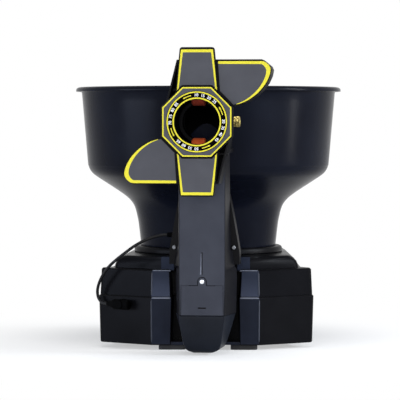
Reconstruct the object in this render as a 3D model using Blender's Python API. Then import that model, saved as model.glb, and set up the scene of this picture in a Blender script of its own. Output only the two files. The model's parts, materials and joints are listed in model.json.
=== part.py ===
import math

import bmesh
import bpy
from mathutils import Matrix, Vector

MM = 0.001

# Clearances and walls shared by the whole part
GAP = 0.3 * MM
THROUGH = 60 * MM
WALL = 2.6 * MM
ROUND_STEPS = 40
FINE_STEPS = 24
SMALL_STEPS = 12
SMOOTH_ANGLE = math.radians(35)
MERGE = 0.000002

# The ball that everything is sized round
BALL_WAY = 43 * MM
BALL_R = BALL_WAY / 2

# Heights
FOOT_HEIGHT = 6 * MM
SEAM_Z = 63.6 * MM
BASE_TOP_Z = 95.8 * MM
DECK_TOP_Z = 110.5 * MM
RIM_Z = 315 * MM
HEAD_Z = 272 * MM

# Hopper radii
LIP_R = 165 * MM
MOUTH_R = LIP_R - 7.4 * MM
BOWL_FOOT_R = MOUTH_R - 7.3 * MM
NECK_R = BOWL_FOOT_R - 67.2 * MM
HOPPER_WALL = 2.8 * MM

# Column's sweep axis, clear of the bowl, and how far it stands turned at rest
PAN_FRONT = MOUTH_R + 29.4 * MM
REST_SWEEP = math.radians(-4.4)

# Base plan: half widths and distances in front of and behind the hopper axis
BASE_HALF = 130 * MM
BASE_FRONT = PAN_FRONT - 37 * MM
BASE_SHOULDER = BASE_FRONT - 43 * MM
BASE_CHEEK = BASE_SHOULDER - 13 * MM
BASE_WAIST = BASE_CHEEK - 14 * MM
BASE_WAIST_HALF = BASE_HALF - 12 * MM
BASE_BACK = 118 * MM
BASE_BACK_HALF = BASE_WAIST_HALF - 7.5 * MM
STRIP_OUTER = 64.5 * MM
STRIP_INNER = 40 * MM
RECESS_DEPTH = 34 * MM
DRAFT = 1.4 * MM
SEAM_LEDGE = 1.4 * MM
DECK_HALF = BASE_WAIST_HALF - 6 * MM
DECK_FRONT = BASE_FRONT - 16 * MM
DECK_STRIP_OUTER = 53 * MM

# Column
COLUMN_FRONT = PAN_FRONT + 28 * MM
COLUMN_SPLIT = PAN_FRONT + 2 * MM
COLUMN_BACK = PAN_FRONT - 27 * MM
COLUMN_LOW_BACK = PAN_FRONT - 22 * MM
DUCT_ZONE_BACK = PAN_FRONT - 20 * MM
COLUMN_TOP_Z = 236 * MM
PANEL_HALF = 26.6 * MM
PANEL_EDGE = 1.2 * MM
TUBE_R = 23.6 * MM
PAN_PIN_R = 5 * MM
PAN_BOSS_R = 11 * MM
NOSE_TOP_Z = 46.5 * MM
NOSE_BOTTOM_Z = 2.6 * MM
HATCH_TOP_Z = 81.5 * MM

# Sweep gearing: teeth and module set the centre distance
MODULE = 1.6 * MM
SECTOR_TEETH = 42
PINION_TEETH = 10
SECTOR_R = MODULE * SECTOR_TEETH / 2
PINION_R = MODULE * PINION_TEETH / 2
GEAR_PLAY = 0.35 * MM
PINION_FRONT = PAN_FRONT - SECTOR_R - PINION_R - GEAR_PLAY
GEAR_Z = 72 * MM
GEAR_THICK = 5 * MM

# Head
HEAD_FRONT = PAN_FRONT + 85 * MM
BEZEL_THICK = 8 * MM
HEAD_BACK = PAN_FRONT + 37 * MM
BORE_R = 25.5 * MM
DIAL_R = 34.8 * MM
BEZEL_FLAT = 41 * MM
PLATE_REACH = 85 * MM
PLATE_ROOT_HALF = 24.7 * MM
PLATE_TIP_HALF = 19.7 * MM
WHEEL_R = 18.2 * MM
WHEEL_HALF = 8 * MM
WHEEL_NIP = 37 * MM
WHEEL_OFFSET = WHEEL_NIP / 2 + WHEEL_R
WHEEL_FRONT = HEAD_BACK + 21.2 * MM
AXLE_R = 2.5 * MM
MOTOR_R = 11.5 * MM
DRUM_R = 24.6 * MM
DRUM_HALF = 26.9 * MM
TILT_PIN_R = 4 * MM
YOKE_INNER = DRUM_HALF + GAP
YOKE_THICK = 4 * MM

# Feed rotor and duct
FEED_FLOOR_THICK = 2 * MM
FEED_FLOOR_Z = DECK_TOP_Z + GAP + FEED_FLOOR_THICK
ROTOR_R = NECK_R - 9.1 * MM
ROTOR_FINGERS = 6
DUCT_WALL = 1.6 * MM
DUCT_HALF = BALL_R + DUCT_WALL
DUCT_START = NECK_R - HOPPER_WALL - 2 * MM
ELBOW_PARTS = 8

# Rotor drive
FEED_SHAFT_R = 3 * MM
MOTOR_DECK_R = 22 * MM

# Wing covers
WING_REACH = 85 * MM
WING_START = 41.2 * MM
WING_TOP = 71 * MM
WING_SHOULDER = 73.7 * MM
WING_ROOT = 18.1 * MM
WING_TIP_LOW = 59.2 * MM
WING_BOW = 1.67
WING_PARTS = 7

# Feet: half sizes and places; the front ones reach under the recess, on the pan's tongue
FOOT_HALF = (16 * MM, 10 * MM)
FOOT_FRONT = 18 * MM - BASE_FRONT
FOOT_REAR = BASE_BACK - 24 * MM
FOOT_REAR_X = BASE_BACK_HALF - 24 * MM
FOOT_PLACES = {"foot_front_left": (-40 * MM, FOOT_FRONT), "foot_front_right": (46 * MM, FOOT_FRONT),
               "foot_rear_left": (-FOOT_REAR_X, FOOT_REAR), "foot_rear_right": (FOOT_REAR_X, FOOT_REAR)}
RECESS_Y = RECESS_DEPTH - BASE_FRONT
TONGUE_HALF = STRIP_INNER + 3.4 * MM
TONGUE_FRONT = BASE_FRONT - 4 * MM
TONGUE_THICK = 3.6 * MM

# Lead, lead socket and the mains openings
LEAD_DIAMETER = 3.6 * MM
LEAD_SOCKET_Z = 53.5 * MM
LEAD_SOCKET_R = 4.6 * MM
SOCKET_ALONG = 40 * MM
SOCKET_Z = 36 * MM
INLET_X = -62 * MM
INLET_HALF = (14 * MM, 10 * MM)
SWITCH_X = -22 * MM
SWITCH_HALF = (10.5 * MM, 7.5 * MM)

# Where the hopper axis stands so that the origin is under the middle of the part: the turned bezel's
# foremost edge is as far in front of it as the lip is behind
BEZEL_SIDE = BEZEL_FLAT - 1 * MM
HEAD_REACH = (HEAD_FRONT - PAN_FRONT) * math.cos(REST_SWEEP) - BEZEL_SIDE * math.sin(REST_SWEEP)
AXIS_Y = (PAN_FRONT + HEAD_REACH - LIP_R) / 2


def clear_scene():
    """Empty the scene of its starting objects."""
    for old in list(bpy.data.objects):
        bpy.data.objects.remove(old)


clear_scene()
assembly = bpy.data.objects.new("assembly", None)
assembly.location = (0, AXIS_Y, 0)
bpy.context.scene.collection.objects.link(assembly)


def finish(name, colour, roughness, metallic=0.0):
    """A Principled material of one colour."""
    material = bpy.data.materials.new(name)
    material.use_nodes = True
    shader = material.node_tree.nodes["Principled BSDF"]
    shader.inputs["Base Color"].default_value = (*colour, 1)
    shader.inputs["Roughness"].default_value = roughness
    shader.inputs["Metallic"].default_value = metallic
    return material


BLACK_SHELL = finish("moulded_black_shell", (0.012, 0.013, 0.018), 0.42)
BLACK_HOPPER = finish("moulded_black_hopper", (0.012, 0.013, 0.02), 0.38)
SATIN_GREY = finish("satin_grey_panel", (0.05, 0.052, 0.065), 0.45)
LABEL_GREY = finish("printed_grey_cover", (0.1, 0.1, 0.125), 0.4)
INNER_BLACK = finish("inner_black_plastic", (0.02, 0.02, 0.022), 0.6)
WHITE_NYLON = finish("white_nylon", (0.6, 0.6, 0.57), 0.5)
ORANGE_RUBBER = finish("orange_foam_tyre", (0.78, 0.11, 0.02), 0.8)
FOOT_RUBBER = finish("foot_rubber", (0.015, 0.015, 0.015), 0.85)
STEEL = finish("zinc_plated_steel", (0.55, 0.56, 0.57), 0.35, 1.0)
MOTOR_STEEL = finish("motor_can_steel", (0.4, 0.41, 0.42), 0.4, 1.0)
BRASS = finish("turned_brass", (0.6, 0.45, 0.17), 0.35, 1.0)
BOARD_GREEN = finish("circuit_board", (0.02, 0.16, 0.06), 0.5)
LEAD_BLACK = finish("lead_jacket", (0.01, 0.01, 0.01), 0.5)


def link(name, mesh_builder, material):
    """Turn a bmesh into a named object of the assembly."""
    bmesh.ops.remove_doubles(mesh_builder, verts=mesh_builder.verts, dist=MERGE)
    bmesh.ops.recalc_face_normals(mesh_builder, faces=mesh_builder.faces)
    mesh = bpy.data.meshes.new(name)
    mesh_builder.to_mesh(mesh)
    mesh_builder.free()
    mesh.shade_smooth()
    mesh.set_sharp_from_angle(angle=SMOOTH_ANGLE)
    if material:
        mesh.materials.append(material)
    made = bpy.data.objects.new(name, mesh)
    bpy.context.scene.collection.objects.link(made)
    made.parent = assembly
    return made


def lathe(profile, steps=ROUND_STEPS, axis="Z", centre=(0, 0, 0)):
    """Spin a closed profile of (radius, height) points about an axis; a point at radius 0 makes a pole."""
    shape = bmesh.new()
    first = [shape.verts.new((r, 0, h)) for r, h in profile]
    closed = min(r for r, h in profile) > 0
    edges = [shape.edges.new(pair) for pair in zip(first, first[1:])]
    if closed:
        edges.append(shape.edges.new((first[-1], first[0])))
    bmesh.ops.spin(shape, geom=first + edges, cent=(0, 0, 0), axis=(0, 0, 1), angle=math.tau,
                   steps=steps, use_merge=True, use_duplicate=False)
    turns = {"Z": Matrix(),
             "X": Matrix.Rotation(math.pi / 2, 4, "Y"),
             "Y": Matrix.Rotation(-math.pi / 2, 4, "X")}
    place = Matrix.Translation(centre) @ turns[axis]
    bmesh.ops.transform(shape, matrix=place, verts=shape.verts)
    bmesh.ops.remove_doubles(shape, verts=shape.verts, dist=MERGE)
    return shape


def rod(radius, low, high, steps=SMALL_STEPS, axis="Z", centre=(0, 0, 0), chamfer=0.0):
    """A solid cylinder with chamfered rims."""
    profile = [(0, low), (radius - chamfer, low), (radius, low + chamfer)]
    profile += [(radius, high - chamfer), (radius - chamfer, high), (0, high)]
    if not chamfer:
        profile = [(0, low), (radius, low), (radius, high), (0, high)]
    return lathe(profile, steps, axis, centre)


def ring(inner, outer, low, high, steps=FINE_STEPS, axis="Z", centre=(0, 0, 0)):
    """A square-edged tube."""
    return lathe([(inner, low), (outer, low), (outer, high), (inner, high)], steps, axis, centre)


def prism(outline, low, high, axis="Z"):
    """Extrude a flat outline between two levels; axis Y reads it as (x, z), axis X as (y, z)."""
    shape = bmesh.new()
    places = {"Z": lambda a, b, c: (a, b, c),
              "Y": lambda a, b, c: (a, c, b),
              "X": lambda a, b, c: (c, a, b)}
    place = places[axis]
    face = shape.faces.new([shape.verts.new(place(a, b, low)) for a, b in outline])
    grown = bmesh.ops.extrude_face_region(shape, geom=[face])
    raised = [v for v in grown["geom"] if isinstance(v, bmesh.types.BMVert)]
    bmesh.ops.translate(shape, verts=raised, vec=Vector(place(0, 0, high)) - Vector(place(0, 0, low)))
    bmesh.ops.recalc_face_normals(shape, faces=shape.faces)
    return shape


def block(low, high):
    """A box between two corners."""
    outline = [(low[0], low[1]), (high[0], low[1]), (high[0], high[1]), (low[0], high[1])]
    return prism(outline, low[2], high[2])


def loft(sections):
    """Skin rings of equal count, closed at both ends."""
    shape = bmesh.new()
    rings = [[shape.verts.new(point) for point in section] for section in sections]
    for lower, upper in zip(rings, rings[1:]):
        for k in range(len(lower)):
            n = (k + 1) % len(lower)
            shape.faces.new((lower[k], lower[n], upper[n], upper[k]))
    shape.faces.new(list(reversed(rings[0])))
    shape.faces.new(rings[-1])
    bmesh.ops.recalc_face_normals(shape, faces=shape.faces)
    return shape


def rounded(outline, radius, steps=3):
    """Round a flat outline's corners by one radius or one for each; steps is for 90 degrees."""
    count = len(outline)
    radii = radius if isinstance(radius, (list, tuple)) else [radius] * count
    points = []
    for k in range(count):
        corner = Vector(outline[k])
        before = (Vector(outline[k - 1]) - corner).normalized()
        after = (Vector(outline[(k + 1) % count]) - corner).normalized()
        if radii[k] <= 0:
            points.append(tuple(corner))
            continue
        half = before.angle(after) / 2
        reach = radii[k] / math.tan(half)
        centre = corner + (before + after).normalized() * radii[k] / math.sin(half)
        start = corner + before * reach - centre
        stop = corner + after * reach - centre
        sweep = start.angle_signed(stop)
        parts = max(1, round(steps * abs(sweep) / (math.pi / 2)))
        for s in range(parts + 1):
            turned = Matrix.Rotation(-sweep * s / parts, 2) @ start
            points.append(tuple(centre + turned))
    return points


def mirrored(half_outline):
    """Close a right-hand outline with its mirror image across X = 0."""
    return half_outline + [(-x, y) for x, y in reversed(half_outline)]


def inset(outline, distance):
    """Move every side of a counter-clockwise outline inwards."""
    points = []
    count = len(outline)
    for k in range(count):
        corner = Vector(outline[k])
        into_corner = (corner - Vector(outline[k - 1])).normalized()
        out_of_corner = (Vector(outline[(k + 1) % count]) - corner).normalized()
        first = Vector((-into_corner.y, into_corner.x))
        second = Vector((-out_of_corner.y, out_of_corner.x))
        middle = (first + second).normalized()
        points.append(tuple(corner + middle * distance / max(middle.dot(first), 0.3)))
    return points


def combine(target, shape, operation="DIFFERENCE", name="cutter"):
    """Cut a bmesh from an object, or join it on, with an exact Boolean."""
    tool = link(target.name + "_" + name, shape, None)
    tool.hide_render = True
    tool.display_type = "WIRE"
    change = target.modifiers.new(name, "BOOLEAN")
    change.operation = operation
    change.solver = "EXACT"
    change.object = tool
    return target


def soften(target, width, segments=2, angle=50):
    """Round the sharp edges of a piece."""
    change = target.modifiers.new("rounded_edges", "BEVEL")
    change.width = width
    change.segments = segments
    change.limit_method = "ANGLE"
    change.angle_limit = math.radians(angle)
    change.use_clamp_overlap = True
    return target


def pivot(piece, point):
    """Put a piece's origin on its joint's axis without moving the piece."""
    piece.data.transform(Matrix.Translation(-Vector(point)))
    piece.location = point
    return piece


def offset_path(path, distance):
    """Follow a (radius, height) path at a constant distance on its inner side."""
    points = []
    for k, (r, h) in enumerate(path):
        before = Vector(path[max(k - 1, 0)])
        after = Vector(path[min(k + 1, len(path) - 1)])
        along = (after - before).normalized()
        points.append((r + along.y * distance, h - along.x * distance))
    return points


def base_plan(shrink=0.0):
    """The base seen from above: strips at the front, raked outer faces, and a narrower body behind them."""
    half = [(STRIP_INNER, RECESS_DEPTH - BASE_FRONT), (STRIP_INNER, -BASE_FRONT), (STRIP_OUTER, -BASE_FRONT),
            (BASE_HALF, -BASE_SHOULDER), (BASE_HALF - 1.5 * MM, -BASE_CHEEK), (BASE_WAIST_HALF, -BASE_WAIST),
            (BASE_BACK_HALF, BASE_BACK)]
    sharp = inset(mirrored(half), shrink) if shrink else mirrored(half)
    radii = [2 * MM, 1.2 * MM, 2 * MM, 6 * MM, 5 * MM, 6 * MM, 12 * MM]
    return rounded(sharp, radii + radii[::-1])


def at_height(outline, z):
    """Lift a flat outline to a height."""
    return [(x, y, z) for x, y in outline]


def duct_envelope(clearance):
    """The space that the feed duct takes, from inside the neck to the column."""
    side = DUCT_HALF + clearance
    top = FEED_FLOOR_Z + BALL_WAY + DUCT_WALL + clearance
    return block((-side, -PAN_FRONT, DECK_TOP_Z - clearance), (side, -DUCT_START + clearance, top))


# Base pan: a drafted tray with the recess for the column at its front and a floor tongue across the recess
pan = link("base_pan", loft([at_height(base_plan(DRAFT + 1 * MM), FOOT_HEIGHT),
                             at_height(base_plan(DRAFT), FOOT_HEIGHT + 1 * MM),
                             at_height(base_plan(), SEAM_Z - SEAM_LEDGE),
                             at_height(base_plan(SEAM_LEDGE), SEAM_Z)]), BLACK_SHELL)
pan_hollow = loft([at_height(base_plan(DRAFT + WALL), FOOT_HEIGHT + WALL),
                   at_height(base_plan(SEAM_LEDGE + WALL), SEAM_Z + 2 * MM)])
combine(pan, pan_hollow, name="hollow")
tongue = block((-TONGUE_HALF, -TONGUE_FRONT, FOOT_HEIGHT + 0.2 * MM),
               (TONGUE_HALF, RECESS_Y + DRAFT / 2, FOOT_HEIGHT + 0.2 * MM + TONGUE_THICK))
combine(pan, tongue, "UNION", "tongue")
for centre_x, half in ((INLET_X, INLET_HALF), (SWITCH_X, SWITCH_HALF)):
    opening = block((centre_x - half[0], BASE_BACK - 8 * MM, SOCKET_Z - half[1]),
                    (centre_x + half[0], BASE_BACK + 4 * MM, SOCKET_Z + half[1]))
    combine(pan, opening, name="rear_opening")

# Left outer face: its direction and the place of the lead socket on it
face_start = Vector((-STRIP_OUTER, -BASE_FRONT, 0))
face_end = Vector((-BASE_HALF, -BASE_SHOULDER, 0))
face_along = (face_end - face_start).normalized()
face_out = Vector((face_along.y, -face_along.x, 0))
if face_out.y > 0:
    face_out = -face_out
socket_place = face_start + face_along * SOCKET_ALONG + Vector((0, 0, LEAD_SOCKET_Z))
face_square = Vector((0, 0, 1)).rotation_difference(face_out).to_matrix().to_4x4()
face_turn = Matrix.Translation(socket_place) @ face_square


def face_cylinder(radius, start, stop):
    """A cylinder square to the left outer face, from start to stop outwards of it."""
    shape = rod(radius, start, stop, SMALL_STEPS)
    bmesh.ops.transform(shape, matrix=face_turn, verts=shape.verts)
    return shape


combine(pan, face_cylinder(LEAD_SOCKET_R + GAP, -9 * MM, 6 * MM), name="socket_hole")

# Base cover: the upper half of the casing with its raised deck in one moulding
DECK_ROUND = DECK_TOP_Z - BASE_TOP_Z


def deck_plan(half, shrink=0.0):
    """The raised deck seen from above."""
    right = [(STRIP_INNER, RECESS_DEPTH - BASE_FRONT), (STRIP_INNER - 4 * MM, -DECK_FRONT),
             (DECK_STRIP_OUTER, -DECK_FRONT), (half, -BASE_SHOULDER + 12 * MM),
             (half - 10 * MM, BASE_BACK - 12 * MM)]
    sharp = inset(mirrored(right), shrink) if shrink else mirrored(right)
    radii = [1 * MM, 2 * MM, 3 * MM, 10 * MM, 12 * MM]
    return rounded(sharp, radii + radii[::-1])


def deck_sections(shrink, low, high, steps):
    """Rings from the deck's foot to its top, its sides rolled over in a quarter round."""
    sections = []
    for k in range(steps + 1):
        angle = math.pi / 2 * k / steps
        half = DECK_HALF - DECK_ROUND * (1 - math.cos(angle))
        sections.append(at_height(deck_plan(half, shrink), low + (high - low) * math.sin(angle)))
    return sections


COVER_TOP = SEAM_LEDGE + DRAFT
cover = link("base_cover", loft([at_height(base_plan(SEAM_LEDGE), SEAM_Z + GAP),
                                 at_height(base_plan(COVER_TOP), BASE_TOP_Z - 1.5 * MM),
                                 at_height(base_plan(COVER_TOP + 1.5 * MM), BASE_TOP_Z)]), BLACK_SHELL)
combine(cover, loft(deck_sections(0, BASE_TOP_Z - 1.5 * MM, DECK_TOP_Z, 5)), "UNION", "deck")
combine(cover, loft([at_height(base_plan(WALL + SEAM_LEDGE), SEAM_Z - 2 * MM),
                     at_height(base_plan(WALL + COVER_TOP), BASE_TOP_Z - WALL)]), name="hollow")
combine(cover, loft(deck_sections(WALL, BASE_TOP_Z - WALL - 1 * MM, DECK_TOP_Z - WALL, 2)),
        name="deck_hollow")
combine(cover, rod(FEED_SHAFT_R + 1 * MM, DECK_TOP_Z - 5 * MM, DECK_TOP_Z + 5 * MM), name="shaft_hole")

# Feet: four rubber pads under the pan
for name, (x, y) in FOOT_PLACES.items():
    pad = rounded([(x - FOOT_HALF[0], y - FOOT_HALF[1]), (x + FOOT_HALF[0], y - FOOT_HALF[1]),
                   (x + FOOT_HALF[0], y + FOOT_HALF[1]), (x - FOOT_HALF[0], y + FOOT_HALF[1])], 4 * MM, 3)
    link(name, prism(pad, 0, FOOT_HEIGHT - GAP), FOOT_RUBBER)

# Hopper: one blow-moulded bowl with a rolled lip and a drafted neck
HOPPER_OUTSIDE = [(NECK_R, DECK_TOP_Z + GAP),
                  (NECK_R + 3.7 * MM, 144 * MM),
                  (NECK_R + 6.9 * MM, 160.5 * MM),
                  (NECK_R + 10.4 * MM, 169 * MM),
                  (NECK_R + 15.4 * MM, 175.5 * MM),
                  (NECK_R + 21.9 * MM, 181.5 * MM),
                  (NECK_R + 29.9 * MM, 187.6 * MM),
                  (BOWL_FOOT_R - 9.3 * MM, 205.5 * MM),
                  (BOWL_FOOT_R - 3.9 * MM, 210 * MM),
                  (BOWL_FOOT_R - 1 * MM, 215 * MM),
                  (BOWL_FOOT_R, 221 * MM),
                  (MOUTH_R, 308 * MM)]
LIP_OUTSIDE = [(LIP_R - 5.5 * MM, 310.8 * MM), (LIP_R - 1.8 * MM, 309.4 * MM), (LIP_R, 309.6 * MM),
               (LIP_R - 0.5 * MM, 312.6 * MM), (LIP_R - 3 * MM, 314.6 * MM), (LIP_R - 7 * MM, RIM_Z),
               (MOUTH_R - 2.2 * MM, 313.4 * MM)]
SKIPPED_INSIDE = (1, 3, 5, 8)
hopper_inside = offset_path(HOPPER_OUTSIDE, -HOPPER_WALL)
hopper_inside = [point for k, point in enumerate(hopper_inside) if k not in SKIPPED_INSIDE]
hopper = link("hopper", lathe(HOPPER_OUTSIDE + LIP_OUTSIDE + hopper_inside[::-1]), BLACK_HOPPER)
combine(hopper, duct_envelope(GAP), name="duct_way")

# Collar: the turned-up ring of the deck that the neck stands in
COLLAR_IN = NECK_R + 1.1 * MM
COLLAR_OUT = NECK_R + 9.2 * MM
COLLAR_TOP_Z = 118.4 * MM
collar_profile = [(COLLAR_IN, DECK_TOP_Z + GAP),
                  (COLLAR_OUT, DECK_TOP_Z + GAP),
                  (COLLAR_OUT, COLLAR_TOP_Z - 3.5 * MM),
                  (COLLAR_OUT - 1.2 * MM, COLLAR_TOP_Z - 1 * MM),
                  (COLLAR_OUT - 3.5 * MM, COLLAR_TOP_Z),
                  (COLLAR_IN, COLLAR_TOP_Z)]
collar = link("hopper_collar", lathe(collar_profile), BLACK_SHELL)
combine(collar, duct_envelope(GAP), name="duct_way")

# Feed floor: the plate that balls rest on, with a hole for the rotor shaft
floor_shape = ring(FEED_SHAFT_R + 1 * MM, NECK_R - HOPPER_WALL - 0.4 * MM, DECK_TOP_Z + GAP, FEED_FLOOR_Z)
feed_floor = link("feed_floor", floor_shape, INNER_BLACK)
combine(feed_floor, duct_envelope(GAP), name="duct_way")

# Feed rotor: a hub with swept fingers that carries balls round to the duct
ROTOR_LOW = FEED_FLOOR_Z + 1 * MM
HUB_R = 16 * MM
HUB_HEIGHT = 24 * MM
FINGER_LOW = ROTOR_LOW + 9 * MM
FINGER_HIGH = ROTOR_LOW + 17 * MM
FINGER_WIDTH = 6 * MM
HUB_NOSE_R = HUB_R * 0.7
hub_profile = [(0, ROTOR_LOW), (HUB_R, ROTOR_LOW), (HUB_R, ROTOR_LOW + 19 * MM),
               (HUB_NOSE_R, ROTOR_LOW + 22.5 * MM), (0, ROTOR_LOW + HUB_HEIGHT)]
rotor = link("feed_rotor", lathe(hub_profile, FINE_STEPS), WHITE_NYLON)
finger_corners = [(HUB_NOSE_R, -FINGER_WIDTH / 2), (ROTOR_R, -FINGER_WIDTH / 2 + 1 * MM),
                  (ROTOR_R, FINGER_WIDTH / 2), (HUB_NOSE_R, FINGER_WIDTH / 2)]
finger_outline = rounded(finger_corners, [0, 2 * MM, 2 * MM, 0], 3)
for k in range(ROTOR_FINGERS):
    finger = prism(finger_outline, FINGER_LOW, FINGER_HIGH)
    finger_turn = Matrix.Rotation(math.tau * k / ROTOR_FINGERS, 3, "Z")
    bmesh.ops.rotate(finger, verts=finger.verts, matrix=finger_turn)
    combine(rotor, finger, "UNION", "finger")
shaft_top = ROTOR_LOW - GAP
MOTOR_DECK_TOP = DECK_TOP_Z - WALL - GAP
MOTOR_DECK_LOW = MOTOR_DECK_TOP - 22 * MM
link("feed_shaft", rod(FEED_SHAFT_R, MOTOR_DECK_TOP + GAP, shaft_top), STEEL)
FEED_CAN_R = 16 * MM
FEED_CAN_LOW = MOTOR_DECK_LOW - 32 * MM
feed_motor_profile = [(0, FEED_CAN_LOW),
                      (FEED_CAN_R - 1 * MM, FEED_CAN_LOW),
                      (FEED_CAN_R, FEED_CAN_LOW + 1 * MM),
                      (FEED_CAN_R, MOTOR_DECK_LOW),
                      (MOTOR_DECK_R, MOTOR_DECK_LOW),
                      (MOTOR_DECK_R, MOTOR_DECK_TOP),
                      (0, MOTOR_DECK_TOP)]
link("feed_gearmotor", lathe(feed_motor_profile, FINE_STEPS), MOTOR_STEEL)

# Feed duct: a square way from the neck to the ball tube, ending in a hollow that the tube turns in
duct = link("feed_duct", duct_envelope(0), INNER_BLACK)
duct_way = block((-BALL_R, -PAN_FRONT - 5 * MM, FEED_FLOOR_Z), (BALL_R, 0, FEED_FLOOR_Z + BALL_WAY))
combine(duct, duct_way, name="way")
duct_seat = rod(TUBE_R + 0.7 * MM, FEED_FLOOR_Z - DUCT_HALF, FEED_FLOOR_Z + BALL_WAY + DUCT_HALF,
                ROUND_STEPS, centre=(0, -PAN_FRONT, 0))
combine(duct, duct_seat, name="tube_seat")

# The head's axes: sweep, tilt and roll
PAN_AXIS = (0, -PAN_FRONT, 0)
TILT_AXIS = (0, -PAN_FRONT, HEAD_Z)
SPIN_AXIS = (0, -HEAD_BACK, HEAD_Z)
BARREL_LINE = (0, 0, HEAD_Z)

# Cradle arm: the cast arm in the recess that carries the column on its bush
ARM_Z = 61 * MM
ARM_THICK = 5 * MM
ARM_HALF = 16 * MM
BOSS_TOP_Z = 103 * MM
BUSH_R = 8 * MM
FLANGE_THICK = 4 * MM
FLANGE_HALF = ARM_HALF * 1.8
GUSSET_HALF = 1.5 * MM
ARM_BACK = RECESS_Y - DRAFT
ARM_MIDDLE = ARM_BACK - FLANGE_THICK / 2
PINION_AXIS = (0, -PINION_FRONT, 0)
arm_outline = [(-ARM_HALF, -PAN_FRONT), (ARM_HALF, -PAN_FRONT),
               (ARM_HALF, ARM_MIDDLE), (-ARM_HALF, ARM_MIDDLE)]
arm = link("cradle_arm", prism(arm_outline, ARM_Z, ARM_Z + ARM_THICK), INNER_BLACK)
combine(arm, rod(3.2 * MM, ARM_Z - 5 * MM, ARM_Z + 10 * MM, centre=PINION_AXIS), name="motor_hole")
combine(arm, rod(PAN_BOSS_R, ARM_Z - 1 * MM, BOSS_TOP_Z, FINE_STEPS, centre=PAN_AXIS), "UNION", "boss")
arm_flange = block((-FLANGE_HALF, ARM_BACK - FLANGE_THICK, ARM_Z - 14 * MM),
                   (FLANGE_HALF, ARM_BACK, ARM_Z + 30 * MM))
combine(arm, arm_flange, "UNION", "flange")
gusset_outline = [(ARM_BACK - 1 * MM, ARM_Z + 2 * MM), (PINION_R + 4 * MM - PINION_FRONT, ARM_Z + 2 * MM),
                  (ARM_BACK - 1 * MM, ARM_Z + 24 * MM)]
for middle in (-ARM_HALF * 0.9, ARM_HALF * 0.9):
    gusset = prism(gusset_outline, middle - GUSSET_HALF, middle + GUSSET_HALF, "X")
    combine(arm, gusset, "UNION", "gusset")
bush_bore = rod(BUSH_R + GAP, ARM_Z - 5 * MM, BOSS_TOP_Z + 5 * MM, FINE_STEPS, centre=PAN_AXIS)
combine(arm, bush_bore, name="bush_bore")
link("pan_bush", ring(PAN_PIN_R + GAP, BUSH_R, ARM_Z - 1 * MM, BOSS_TOP_Z, centre=PAN_AXIS), BRASS)

# Sweep motor under the arm, its pinion above it
SWEEP_MOTOR_R = 12 * MM
SWEEP_MOTOR_LOW = 30 * MM
sweep_motor_profile = [(0, SWEEP_MOTOR_LOW), (SWEEP_MOTOR_R - 1 * MM, SWEEP_MOTOR_LOW),
                       (SWEEP_MOTOR_R, SWEEP_MOTOR_LOW + 1 * MM), (SWEEP_MOTOR_R, ARM_Z - GAP),
                       (0, ARM_Z - GAP)]
link("sweep_motor", lathe(sweep_motor_profile, FINE_STEPS, "Z", PINION_AXIS), MOTOR_STEEL)


def gear_outline(teeth, module, first=0.0, count=None):
    """Trapezoid teeth round a pitch circle: four points for each tooth, starting at one tooth's centre."""
    pitch = module * teeth / 2
    step = math.tau / teeth
    shape = [(-0.27, -1.2), (-0.13, 0.9), (0.13, 0.9), (0.27, -1.2)]
    points = []
    for k in range(count or teeth):
        for turn, height in shape:
            angle = first + (k + turn) * step
            radius = pitch + height * module
            points.append((radius * math.cos(angle), radius * math.sin(angle)))
    return points


GEAR_TOP_Z = GEAR_Z + GEAR_THICK
pinion_first = -REST_SWEEP * SECTOR_TEETH / PINION_TEETH - math.pi / 2
pinion_teeth = gear_outline(PINION_TEETH, MODULE, pinion_first)
pinion_outline = [(x, y - PINION_FRONT) for x, y in pinion_teeth]
pinion_shape = prism(pinion_outline, GEAR_Z - 0.5 * MM, GEAR_TOP_Z + 0.5 * MM)
pinion = link("sweep_pinion", pinion_shape, WHITE_NYLON)
combine(pinion, rod(2.4 * MM, ARM_Z, GEAR_TOP_Z, centre=PINION_AXIS), "UNION", "shaft")
pivot(pinion, (0, -PINION_FRONT, GEAR_Z))

# Sector gear: a toothed plate round the boss, screwed to the spine in front
SECTOR_COUNT = 15
sector_first = math.pi / 2 - math.tau / SECTOR_TEETH * (SECTOR_COUNT - 1) / 2 + math.pi / SECTOR_TEETH
sector_teeth = gear_outline(SECTOR_TEETH, MODULE, sector_first, SECTOR_COUNT)
SPINE_FRONT = COLUMN_FRONT - WALL - 0.6 * MM
SPINE_THICK = 3 * MM
sector_front = -(SPINE_FRONT - SPINE_THICK - PAN_FRONT) + GAP
sector_tail = [(-15 * MM, 0), (-11 * MM, sector_front), (11 * MM, sector_front), (15 * MM, 0)]
sector_outline = [(x, y - PAN_FRONT) for x, y in sector_teeth + sector_tail]
sector = link("sector_gear", prism(sector_outline, GEAR_Z, GEAR_TOP_Z), WHITE_NYLON)
boss_way = rod(PAN_BOSS_R + 0.8 * MM, GEAR_Z - 5 * MM, GEAR_Z + 12 * MM, FINE_STEPS, centre=PAN_AXIS)
combine(sector, boss_way, name="boss_way")
pivot(sector, (0, -PAN_FRONT, GEAR_Z))

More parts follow.
